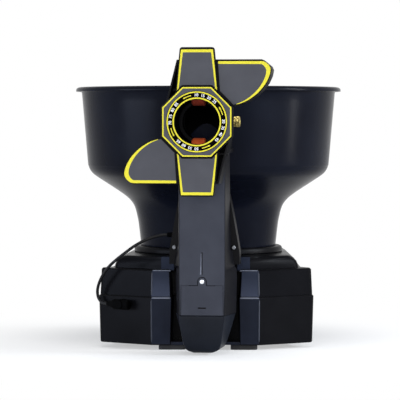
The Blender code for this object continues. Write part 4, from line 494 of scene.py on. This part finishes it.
# Painted shade: a thin black band over the gap round the hatch
band("hatch_seam", seam_line(TAB_R + SEAM_OVER, SEAM_UP), seam_line(TAB_R - SEAM_UNDER, -SEAM_DOWN),
     (PANEL_FRONT, SCREW_Z), INNER, "column", SEAM_THICK)
# Painted highlight: a thin pale band on the groove's left bank
band("groove_bank", BANK_LEFT, BANK_LEFT * (0, 1) + (BANK_RIGHT, 0), (PANEL_FRONT, 0), BANK_HIGHLIGHT, "column",
     BANK_THICK)
# A surface of revolution about the screw's axis, which runs forward
angle = np.linspace(0, math.tau, SCREW_COLUMNS, endpoint=False)
ahead, radius = SCREW_LINE.T[:, :, None]
screw_points = np.stack([radius * np.cos(angle), np.repeat(-ahead, SCREW_COLUMNS, axis=1),
                         SCREW_Z + radius * np.sin(angle)], axis=-1)
screw_head = piece_from("hatch_screw_head", swept(screw_points.reshape(-1, 3)),
                        grid_faces(len(SCREW_LINE), SCREW_COLUMNS), BRIGHT, "column", smooth=30)
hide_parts("hatch_screw")

# Tilt yoke, drum and thumb screw
# A moulded yoke on the column holds, between two steel pins, the drum that turns the ball forward and the
# flange that the head rolls on. A thumb screw of turned brass, straight-knurled, clamps it from the right.

# The height of the tilt axis and of the bore
HEAD_Z = JOINTS["head_tilt"]["pos_m"][2]
# The knurl's ridges round the screw, and the points to each
KNURLS, KNURL_STEPS = 24, 8
# Along the tilt axis, radius, and how deep the knurl cuts there, in mm
KNOB_LINE = np.array([(31.5, 0, 0), (31.5, 3.0, 0), (31.9, 3.4, 0), (34.2, 3.4, 0), (34.2, 5.4, 0),
                      (34.5, 5.9, 0), (34.9, 6.1, 0), (35.1, 6.1, 0.45), (37.3, 6.1, 0.45), (37.5, 6.1, 0),
                      (37.9, 6.1, 0), (38.1, 6.35, 0), (38.3, 6.4, 0.45), (40.6, 6.4, 0.45), (40.9, 6.4, 0),
                      (41.5, 6.3, 0), (41.9, 6.0, 0), (42.1, 5.5, 0), (42.1, 3.8, 0), (41.8, 3.4, 0),
                      (41.8, 0, 0)]) * MM

dress(SHELL, tilt_yoke=0.8)
dress(DULL_ZINC, tilt_pin_left=0, tilt_pin_right=0)
dress(INNER, tilt_drum=0.5, swivel_flange=0.5)
dress(BRASS, thumb_screw=0)

# A surface of revolution about the tilt axis. The knurl is a zigzag round it: the radius less the cut's
# depth times how far the angle is from a ridge, as a share of the way to the groove's bottom.
knob_columns = KNURLS * KNURL_STEPS
angle = np.linspace(0, math.tau, knob_columns, endpoint=False)
zigzag = np.abs(np.arange(knob_columns) / KNURL_STEPS % 1 * 2 - 1)
along, radius, cut = KNOB_LINE.T[:, :, None]
knob_radius = radius - cut * zigzag
knob_points = np.stack([np.repeat(along, knob_columns, axis=1), knob_radius * np.cos(angle),
                        HEAD_Z + knob_radius * np.sin(angle)], axis=-1)
thumb_knob = piece_from("thumb_knob", swept(knob_points.reshape(-1, 3)),
                        grid_faces(len(KNOB_LINE), knob_columns), BRASS, "thumb", smooth=30)
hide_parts("thumb_screw")

# Wheel housing, wheels and barrel
# A moulded housing holds two motors. Each turns a nylon hub with a ring of foam glued round it; the ball is
# gripped between the two rings and leaves through the moulded barrel.

# Black nylon, moulded: a dull charcoal
DARK_NYLON = finish("black_nylon", ("#0C0C0E", "#121214"), patch=12, rough=(0.45, 0.6), grain=0.6, bump=0.01,
                    sheen=0.2)
# Closed-cell foam with cells of about 0.5 mm, ground round: bright orange, quite dull and finely pitted
FOAM = finish("orange_foam", ("#D9501A", "#EA6A2C"), patch=3, rough=(0.75, 0.9), grain=0.5, bump=0.12)
# The same foam painted a dull red-brown: painted shade on the upper ring, whose face turns down away from
# the light
SHADED_FOAM = finish("worn_brown_foam", ("#5A1C10", "#742614"), patch=3, rough=(0.75, 0.9), grain=0.5,
                   bump=0.12, sheen=0.2)
dress(SHELL, wheel_housing=0.8)
dress(CAN, wheel_motor_upper=0, wheel_motor_lower=0)
dress(DARK_NYLON, wheel_hub_upper=0, wheel_hub_lower=0)
dress(SHADED_FOAM, wheel_tyre_upper=0)
dress(FOAM, wheel_tyre_lower=0)
dress(INNER, barrel=0.3)

# Bezel and dial
# An eight-sided moulded frame round the bore, with a moulded black ring in it, held to the housing. Printed
# on them are a grey field with a yellow border, two circles, four arrows and plain numbers.
BEZEL_FACE, FILM_THICK = (85 * MM, HEAD_Z), 0.05 * MM
# The frame's sides, its half width across two of them, and half of the turn that a side takes
OCTAGON_SIDES, OCTAGON_HALF = 8, 41 * MM
HALF_SIDE_TURN = math.pi / OCTAGON_SIDES
# The border's margin and width, and the gap between it and the field
BORDER_IN, BORDER_WIDE, FIELD_GAP = 1.5 * MM, 1.5 * MM, 0.05 * MM
# The hole in the field, and the parts that each of its sides is cut in
FIELD_HOLE_R, FIELD_PARTS = 35.2 * MM, 12
# The radii of each circle's edges, in mm
DIAL_CIRCLES = {"outer": (34.6, 33.2), "inner": (27.8, 26.2)}
# The numbers stand in four groups of four, in degrees; their strokes are made wider all round by the spread
NUMBER_R, NUMBER_SIZE, NUMBER_SPREAD = 30.5 * MM, 4.7 * MM, 0.04 * MM
NUMBERS, NUMBER_STEP, GROUP_MIDDLES = range(10, 90, 5), 14.2, (70, -20, -112, 161)
# Middles of the arrows, half their turn and that of their heads, in degrees
ARROW_MIDDLES, ARROW_HALF_TURN, HEAD_TURN = (112, 24.7, -69, -157), 9.5, 4.5
# Half the arrow's width, how many times as wide its head starts, half the tip's width, and the arc's points
ARROW_HALF, HEAD_SHARE, ARROW_TIP, ARROW_POINTS = 0.5 * MM, 2.2, 0.02 * MM, 12
# A corner sharper than this cosine of half its turn is moved as if it were no sharper
SHARPEST = 0.3


def circle(radius, count=128, start=0.0):
    """Points round a circle, anticlockwise from an angle."""
    angle = start + np.linspace(0, math.tau, count, endpoint=False)
    return radius * np.stack([np.cos(angle), np.sin(angle)], axis=1)


def inset(outline, distance):
    """A closed anticlockwise outline moved inwards, by one distance or one for each point: along the mean of
    the normals of its two sides, by the distance over that mean's share along either normal."""
    ways = [outline - np.roll(outline, 1, axis=0), np.roll(outline, -1, axis=0) - outline]
    first, second = (np.stack([-way[:, 1], way[:, 0]], axis=1) / np.linalg.norm(way, axis=1)[:, None]
                     for way in ways)
    middle = first + second
    middle /= np.linalg.norm(middle, axis=1)[:, None]
    reach = np.maximum(np.sum(middle * first, axis=1), SHARPEST)
    return outline + middle * (np.broadcast_to(distance, len(outline)) / reach)[:, None]


def divided(outline, parts):
    """A closed outline with every side cut in equal parts."""
    share = np.linspace(0, 1, parts, endpoint=False)[None, :, None]
    after = np.roll(outline, -1, axis=0)
    return (outline[:, None] + (after - outline)[:, None] * share).reshape(-1, 2)


def film(name, outer, inner, face, material):
    """A film on the head between two closed outlines of equal count or, without an inner one, over all of
    the outer one: the outlines stand at the face and again a film's thickness before it."""
    count = len(outer)
    rings = [facing(outer, face), facing(outer, face, FILM_THICK)]
    if inner is None:
        caps = [list(range(count, 2 * count)), list(range(count))[::-1]]
        piece_from(name, np.vstack(rings), grid_faces(len(rings), count), material, "head", caps=caps)
    else:
        rings += [facing(inner, face, FILM_THICK), facing(inner, face)]
        sides = grid_faces(len(rings), count, close_rows=True)
        piece_from(name, np.vstack(rings), sides, material, "head")


def number_plate(name, text, angle):
    """A number from the built-in letters, as thick as a film: laid flat, stood up, turned with its foot to
    the bore, moved out to its circle, and turned with the column."""
    letters = bpy.data.curves.new(name, "FONT")
    letters.body = text
    letters.size = NUMBER_SIZE
    letters.align_x = "CENTER"
    letters.align_y = "CENTER"
    letters.extrude = FILM_THICK / 2
    letters.offset = NUMBER_SPREAD
    holder = put(name + "_text", letters)
    mesh = bpy.data.meshes.new_from_object(holder.evaluated_get(bpy.context.evaluated_depsgraph_get()))
    bpy.data.objects.remove(holder)
    front, middle = BEZEL_FACE
    x, z = NUMBER_R * math.cos(angle), middle + NUMBER_R * math.sin(angle)
    place = Vector((x, -front - FILM_THICK / 2, z))
    turn = Matrix.Rotation(math.pi / 2 - angle, 4, "Y") @ Matrix.Rotation(math.pi / 2, 4, "X")
    stand = Matrix.Translation((0, SWEEP_Y, 0)) @ Matrix.Rotation(SWEPT, 4, "Z")
    mesh.transform(stand @ Matrix.Translation(place) @ turn)
    close_shell(mesh)
    mesh.shade_flat()
    mesh.materials.clear()
    mesh.materials.append(WHITE)
    made = put(name, mesh)
    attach(made, "head")


def arc_arrow(name, middle):
    """An arrow round the circle of numbers, anticlockwise about a middle in degrees: a stripe of even width
    on an arc, and a head that starts wider and runs to a point."""
    body_end = middle + ARROW_HALF_TURN - HEAD_TURN
    turns = np.radians(np.linspace(middle - ARROW_HALF_TURN, body_end, ARROW_POINTS))
    turns = np.append(turns, [turns[-1], math.radians(middle + ARROW_HALF_TURN)])
    half = np.append(np.full(ARROW_POINTS, ARROW_HALF), [HEAD_SHARE * ARROW_HALF, ARROW_TIP])
    ways = np.stack([np.cos(turns), np.sin(turns)], axis=1)
    band(name, ways * (NUMBER_R + half)[:, None], ways * (NUMBER_R - half)[:, None], BEZEL_FACE, YELLOW,
         "head", FILM_THICK)


# Black ABS of the head's frame and covers, moulded with a coarser texture: near black and quite dull
COVER = finish("black_abs_cover", ("#050507", "#08080A"), patch=30, rough=(0.4, 0.52), grain=0.4,
               bump=0.012, sheen=0.05)
# Polyester film, printed grey: an even mid grey that stays dull at every angle
FILM = finish("grey_printed_film", ("#434347", "#4A4A4E"), patch=25, rough=(0.62, 0.74), grain=0.3,
              bump=0.004, sheen=0.12)
# Screen-printed yellow ink: flat and opaque, a little uneven
YELLOW = finish("yellow_screen_ink", ("#CFC32C", "#D7CB38"), patch=12, rough=(0.62, 0.74), grain=0.25,
                bump=0.004, sheen=0.2)
# Screen-printed white ink: flat and opaque, with a faint gloss
WHITE = finish("white_screen_ink", ("#E9E9EC", "#F4F4F6"), patch=10, rough=(0.45, 0.55), grain=0.25,
               bump=0.003)
dress(COVER, bezel=0.5)
dress(INNER, dial_ring=0)
for name, radii in DIAL_CIRCLES.items():
    outer, inner = (circle(radius * MM) for radius in radii)
    film("dial_%s_circle" % name, outer, inner, BEZEL_FACE, YELLOW)
number_places = [middle + NUMBER_STEP * step for middle in GROUP_MIDDLES for step in (1.5, 0.5, -0.5, -1.5)]
for number, angle in zip(NUMBERS, number_places):
    number_plate("dial_number_%d" % number, str(number), math.radians(angle))
for number, middle in enumerate(ARROW_MIDDLES, 1):
    arc_arrow("dial_arrow_%d" % number, middle)
octagon = circle(OCTAGON_HALF / math.cos(HALF_SIDE_TURN), OCTAGON_SIDES, HALF_SIDE_TURN)
border_inside = BORDER_IN + BORDER_WIDE
film("bezel_border", inset(octagon, BORDER_IN), inset(octagon, border_inside), BEZEL_FACE, YELLOW)
field_edge = divided(inset(octagon, border_inside + FIELD_GAP), FIELD_PARTS)
hole_edge = FIELD_HOLE_R * field_edge / np.linalg.norm(field_edge, axis=1)[:, None]
film("bezel_field", field_edge, hole_edge, BEZEL_FACE, FILM)

# Upper and lower cover
# Two moulded covers over the wheels, snapped on above and below the bezel, one the other turned half round.
# On the face of each a grey film is stuck, with a yellow border up the sides and round the tip.
COVER_FACE = (83 * MM, HEAD_Z)
# Half width and height above the bore at the root and at the tip
COVER_ROOT, COVER_TIP = (24.1 * MM, 33.9 * MM), (19.3 * MM, 84.6 * MM)
# The dark margin at the sides and at each tip, and the border's width at the root, the sides and the tip
COVER_MARGIN, TIP_MARGINS = 1.0 * MM, {"upper": 2.3 * MM, "lower": 1.2 * MM}
ROOT_BAND, SIDE_BAND, TIP_BAND = 1.7 * MM, 2.1 * MM, 3.2 * MM
# Half width and height of the field's foot
FIELD_FOOT = (17.2 * MM, 41.9 * MM)
# The films end where half width and height add up to this, just clear of the bezel's slanting side
OCTAGON_CLEAR = 58.9 * MM


def meeting(first, second):
    """The point of a line through two others that lies on the slanting side: first plus the share of the way
    to second that makes its half width and height add up."""
    here, there = abs(first[0]) + first[1], abs(second[0]) + second[1]
    return first + (second - first) * (OCTAGON_CLEAR - here) / (there - here)


dress(COVER, cover_upper=0.9, cover_lower=0.9)
for name, side in (("upper", 1), ("lower", -1)):
    margins = [(COVER_MARGIN, 0), (COVER_MARGIN, TIP_MARGINS[name])]
    outer_half = np.array([COVER_ROOT, COVER_TIP]) - margins
    inner_half = outer_half - [(ROOT_BAND, 0), (SIDE_BAND, TIP_BAND)]
    outer, inner = (np.vstack([half, half[::-1] * (-1, 1)]) for half in (outer_half, inner_half))
    for path in (outer, inner):
        path[0], path[-1] = meeting(path[0], path[1]), meeting(path[-1], path[-2])
    band("cover_%s_border" % name, outer * side, inner * side, COVER_FACE, YELLOW, "head", FILM_THICK)
    foot = np.array([FIELD_FOOT, FIELD_FOOT]) * [(-1, 1), (1, 1)]
    film("cover_%s_field" % name, np.vstack([inner, foot]) * side, None, COVER_FACE, FILM)

# Wings
# Two moulded side covers, screwed to the housing at its upper right and, turned half round, at its lower
# left. On the face of each a grey film is stuck, with a yellow border that widens along the bowed edge.
WING_FACE = (81 * MM, HEAD_Z)
# About the bore, in mm: the ends of the bow, which is a superellipse's quarter, and of the straight edges
BOW_START, BOW_END, BOW_POWER, BOW_POINTS = np.array((41.2, 18.1)), np.array((85, 59.2)), 1.67, 36
WING_ROOT, WING_TOP = (24.9, 34.6), (23.6, 71)
# Points over the rounded shoulder, from the bow to the top edge
SHOULDER = [(84.6, 62.4), (82.6, 65.8), (79.6, 68.6), (76.6, 70.4), (73.4, 71)]
# The border's width, in mm, at the root, along the bow, over the shoulder and at the top's far end
BOW_BAND_START, BOW_BAND_GROWTH, BOW_BAND_POWER = 0.05, 4.9, 0.9
SHOULDER_BANDS, TOP_BAND = [5.1, 4.8, 4.3, 3.8, 3.3], 3.0
# The dark margin outside it, in mm: along the bow, and along the top of each wing
BOW_MARGIN, TOP_MARGINS, END_MARGIN = 1.3, {"right": 2.1, "left": 1.1}, 0.5 * MM
# The border starts at this point, as it is too narrow to print before it
BORDER_START = 4

dress(COVER, wing_right=1.4, wing_left=1.4)
angle = np.linspace(0, math.pi / 2, BOW_POINTS)[:, None]
power = 2 / BOW_POWER
bow = BOW_START + (BOW_END - BOW_START) * np.hstack([np.sin(angle) ** power, 1 - np.cos(angle) ** power])
wing_edge = np.vstack([WING_ROOT, bow, SHOULDER, WING_TOP]) * MM
bow_bands = BOW_BAND_START + BOW_BAND_GROWTH * np.linspace(0, 1, BOW_POINTS) ** BOW_BAND_POWER
border_widths = np.concatenate([[0.0], bow_bands, SHOULDER_BANDS, [TOP_BAND]]) * MM
for name, side in (("right", 1), ("left", -1)):
    top_margin = TOP_MARGINS[name]
    over_shoulder = np.linspace(BOW_MARGIN, top_margin, len(SHOULDER))
    margins = np.concatenate([np.full(BOW_POINTS + 1, BOW_MARGIN), over_shoulder, [top_margin]]) * MM
    outer = inset(wing_edge, margins)
    inner = inset(outer, border_widths)
    outer[-1, 0] = inner[-1, 0] = wing_edge[-1, 0] + END_MARGIN
    band("wing_%s_border" % name, outer[BORDER_START:] * side, inner[BORDER_START:] * side, WING_FACE,
         YELLOW, "head", FILM_THICK)
    film("wing_%s_field" % name, inner * side, None, WING_FACE, FILM)

# Head lead
# A thin lead in a PVC jacket, from a moulded gland at the side of the duct to an angled plug, pushed into
# the socket in the base's left front.
LEAD_DIAMETER = 3.6 * MM
# Chosen along the lead, in mm about the middle of the base's front at the ground
LEAD_POINTS = np.array([(-45.8, 7, 137.5), (-52, 7, 137), (-61, 7, 135), (-72, 7, 131), (-84, 7.5, 124.4),
                        (-94.5, 9.8, 116.8), (-104.5, 13.7, 109), (-113.6, 18.8, 101), (-120.8, 24.2, 92.6),
                        (-126.2, 29, 83.6), (-129.6, 32.7, 75), (-130.9, 35, 67.6), (-130.1, 35.6, 61.2),
                        (-127.4, 34.2, 56.4), (-123.6, 31.2, 54.1), (-118.85, 27.09, 53.5)]) * MM
LEAD_SPLITS, BASE_FRONT_Y = 6, HOPPER_Y - 150 * MM

# Extruded soft PVC: black with a smooth satin sheen
JACKET = finish("black_pvc_jacket", ("#08080A", "#0D0D0F"), patch=8, rough=(0.4, 0.52), grain=0.4, bump=0.01,
                sheen=0.15)
dress(INNER, lead_socket=0.3, lead_plug=0.4, lead_gland=0)
dress(JACKET, head_lead=0)
lead_line = smooth_line(LEAD_POINTS, LEAD_SPLITS) + (0, BASE_FRONT_Y, 0)
lead_curve = bpy.data.curves.new("lead", "CURVE")
lead_curve.dimensions = "3D"
lead_curve.bevel_depth = LEAD_DIAMETER / 2
lead_curve.bevel_resolution = 6
lead_curve.use_fill_caps = True
spline = lead_curve.splines.new("POLY")
spline.points.add(len(lead_line) - 1)
spline.points.foreach_set("co", np.hstack([lead_line, np.ones((len(lead_line), 1))]).ravel())
lead_curve.materials.append(JACKET)
lead = put("lead", lead_curve)
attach(lead, "base")
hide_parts("head_lead")

# Stage, light and camera
# A pale floor that turns plain white away from the object, a white backdrop that lights it only a little,
# and six soft lamps: a wide one in front, one on top, and four at the sides for the highlights.
FLOOR_HALF, FLOOR_GREY, FLOOR_ROUGH = 6.0, 0.9, 0.9
# How far from the origin the floor starts to turn white and is white, and its white share near the object
WHITE_FROM, WHITE_AT, NEAR_WHITE = 0.15, 0.5, 0.45
SKY_LIGHT, SKY_COLOUR = 0.3, (0.9, 0.95, 1, 1)
PLAIN_WHITE = (1, 1, 1, 1)
# The camera's distance from the hopper's axis, its height, its turn about that axis, and how far it looks to
# the side and down from there, in degrees
CAMERA_AWAY, CAMERA_HEIGHT, CAMERA_TURN = 3.0, 0.273, math.radians(1.4)
CAMERA_PAN, CAMERA_DIP = 0.199, 1.885
CAMERA_LENS, SENSOR_WIDTH, CAMERA_REACH = 216, 36, 50


def shown(tree):
    """1 for the rays that show a background, the camera's, mirrored ones and those through glass: the
    largest of the three flags."""
    path = add(tree, "ShaderNodeLightPath").outputs
    seen = add(tree, "ShaderNodeMath", (path["Is Camera Ray"], path["Is Glossy Ray"]), operation="MAXIMUM")
    return add(tree, "ShaderNodeMath", (seen.outputs[0], path["Is Transmission Ray"]),
               operation="MAXIMUM").outputs[0]


def lamp(name, place, target, size, power, colour=(1, 1, 1)):
    """A rectangular soft lamp that faces a point."""
    light = bpy.data.lights.new(name, "AREA")
    light.shape = "RECTANGLE"
    light.size, light.size_y = size
    light.energy = power
    light.color = colour
    holder = put(name, light)
    holder.location = place
    holder.rotation_euler = (Vector(target) - Vector(place)).to_track_quat("-Z", "Y").to_euler()


floor_mesh = bpy.data.meshes.new("floor")
corners = ((-1, -1), (1, -1), (1, 1), (-1, 1))
floor_mesh.from_pydata([(x * FLOOR_HALF, y * FLOOR_HALF, 0) for x, y in corners], [], [(0, 1, 2, 3)])
floor = put("floor", floor_mesh)
# Matt pale paint near the object, which takes its shadow, and white light of its own further out
floor_material = bpy.data.materials.new("pale_floor")
floor_material.use_nodes = True
tree = floor_material.node_tree
shader = tree.nodes["Principled BSDF"]
fill(shader, {"Base Color": (FLOOR_GREY, FLOOR_GREY, FLOOR_GREY, 1), "Roughness": FLOOR_ROUGH})
place = add(tree, "ShaderNodeTexCoord").outputs["Object"]
away = add(tree, "ShaderNodeVectorMath", (place,), operation="LENGTH").outputs["Value"]
far = add(tree, "ShaderNodeMapRange", (away, WHITE_FROM, WHITE_AT, NEAR_WHITE, 1.0),
          interpolation_type="SMOOTHSTEP").outputs[0]
share = add(tree, "ShaderNodeMath", (far, shown(tree)), operation="MULTIPLY").outputs[0]
bright = add(tree, "ShaderNodeEmission", (PLAIN_WHITE, 1.0)).outputs[0]
blend = add(tree, "ShaderNodeMixShader", (share, shader.outputs[0], bright)).outputs[0]
fill(tree.nodes["Material Output"], {"Surface": blend})
floor_mesh.materials.append(floor_material)

world = bpy.data.worlds.new("studio")
bpy.context.scene.world = world
world.use_nodes = True
tree = world.node_tree
tree.nodes.clear()
dim = add(tree, "ShaderNodeBackground", (SKY_COLOUR, SKY_LIGHT)).outputs[0]
white = add(tree, "ShaderNodeBackground", (PLAIN_WHITE, 1.0)).outputs[0]
sky = add(tree, "ShaderNodeMixShader", (shown(tree), dim, white)).outputs[0]
add(tree, "ShaderNodeOutputWorld", {"Surface": sky})

lamp("front", place=(-0.35, -2.4, 0.45), target=(0, 0, 0.16), size=(1.3, 0.7), power=20)
lamp("left_soft", place=(-1.8, -0.9, 0.26), target=(0, 0, 0.22), size=(1.15, 0.45), power=24,
     colour=(0.7, 0.79, 1.0))
lamp("right_soft", place=(1.7, -1.2, 0.26), target=(0, 0, 0.22), size=(1.0, 0.45), power=9,
     colour=(0.74, 0.82, 1.0))
lamp("right_strip", place=(1.9, -0.2, 0.3), target=(0, 0, 0.2), size=(0.2, 0.55), power=8.5)
lamp("right_deck", place=(1.85, -0.42, 0.75), target=(0, 0, 0.1), size=(0.75, 0.3), power=36,
     colour=(0.85, 0.91, 1.0))
lamp("top", place=(0, -0.3, 1.9), target=(0, 0, 0.1), size=(0.8, 0.6), power=18)

camera = put("camera", bpy.data.cameras.new("camera"))
camera.location = (CAMERA_AWAY * math.sin(CAMERA_TURN), HOPPER_Y - CAMERA_AWAY * math.cos(CAMERA_TURN),
                   CAMERA_HEIGHT)
camera.rotation_euler = (math.radians(90 - CAMERA_DIP), 0, CAMERA_TURN + math.radians(CAMERA_PAN))
camera.data.lens = CAMERA_LENS
camera.data.sensor_width = SENSOR_WIDTH
camera.data.clip_end = CAMERA_REACH
bpy.context.scene.camera = camera
bpy.context.scene.view_settings.view_transform = "Standard"
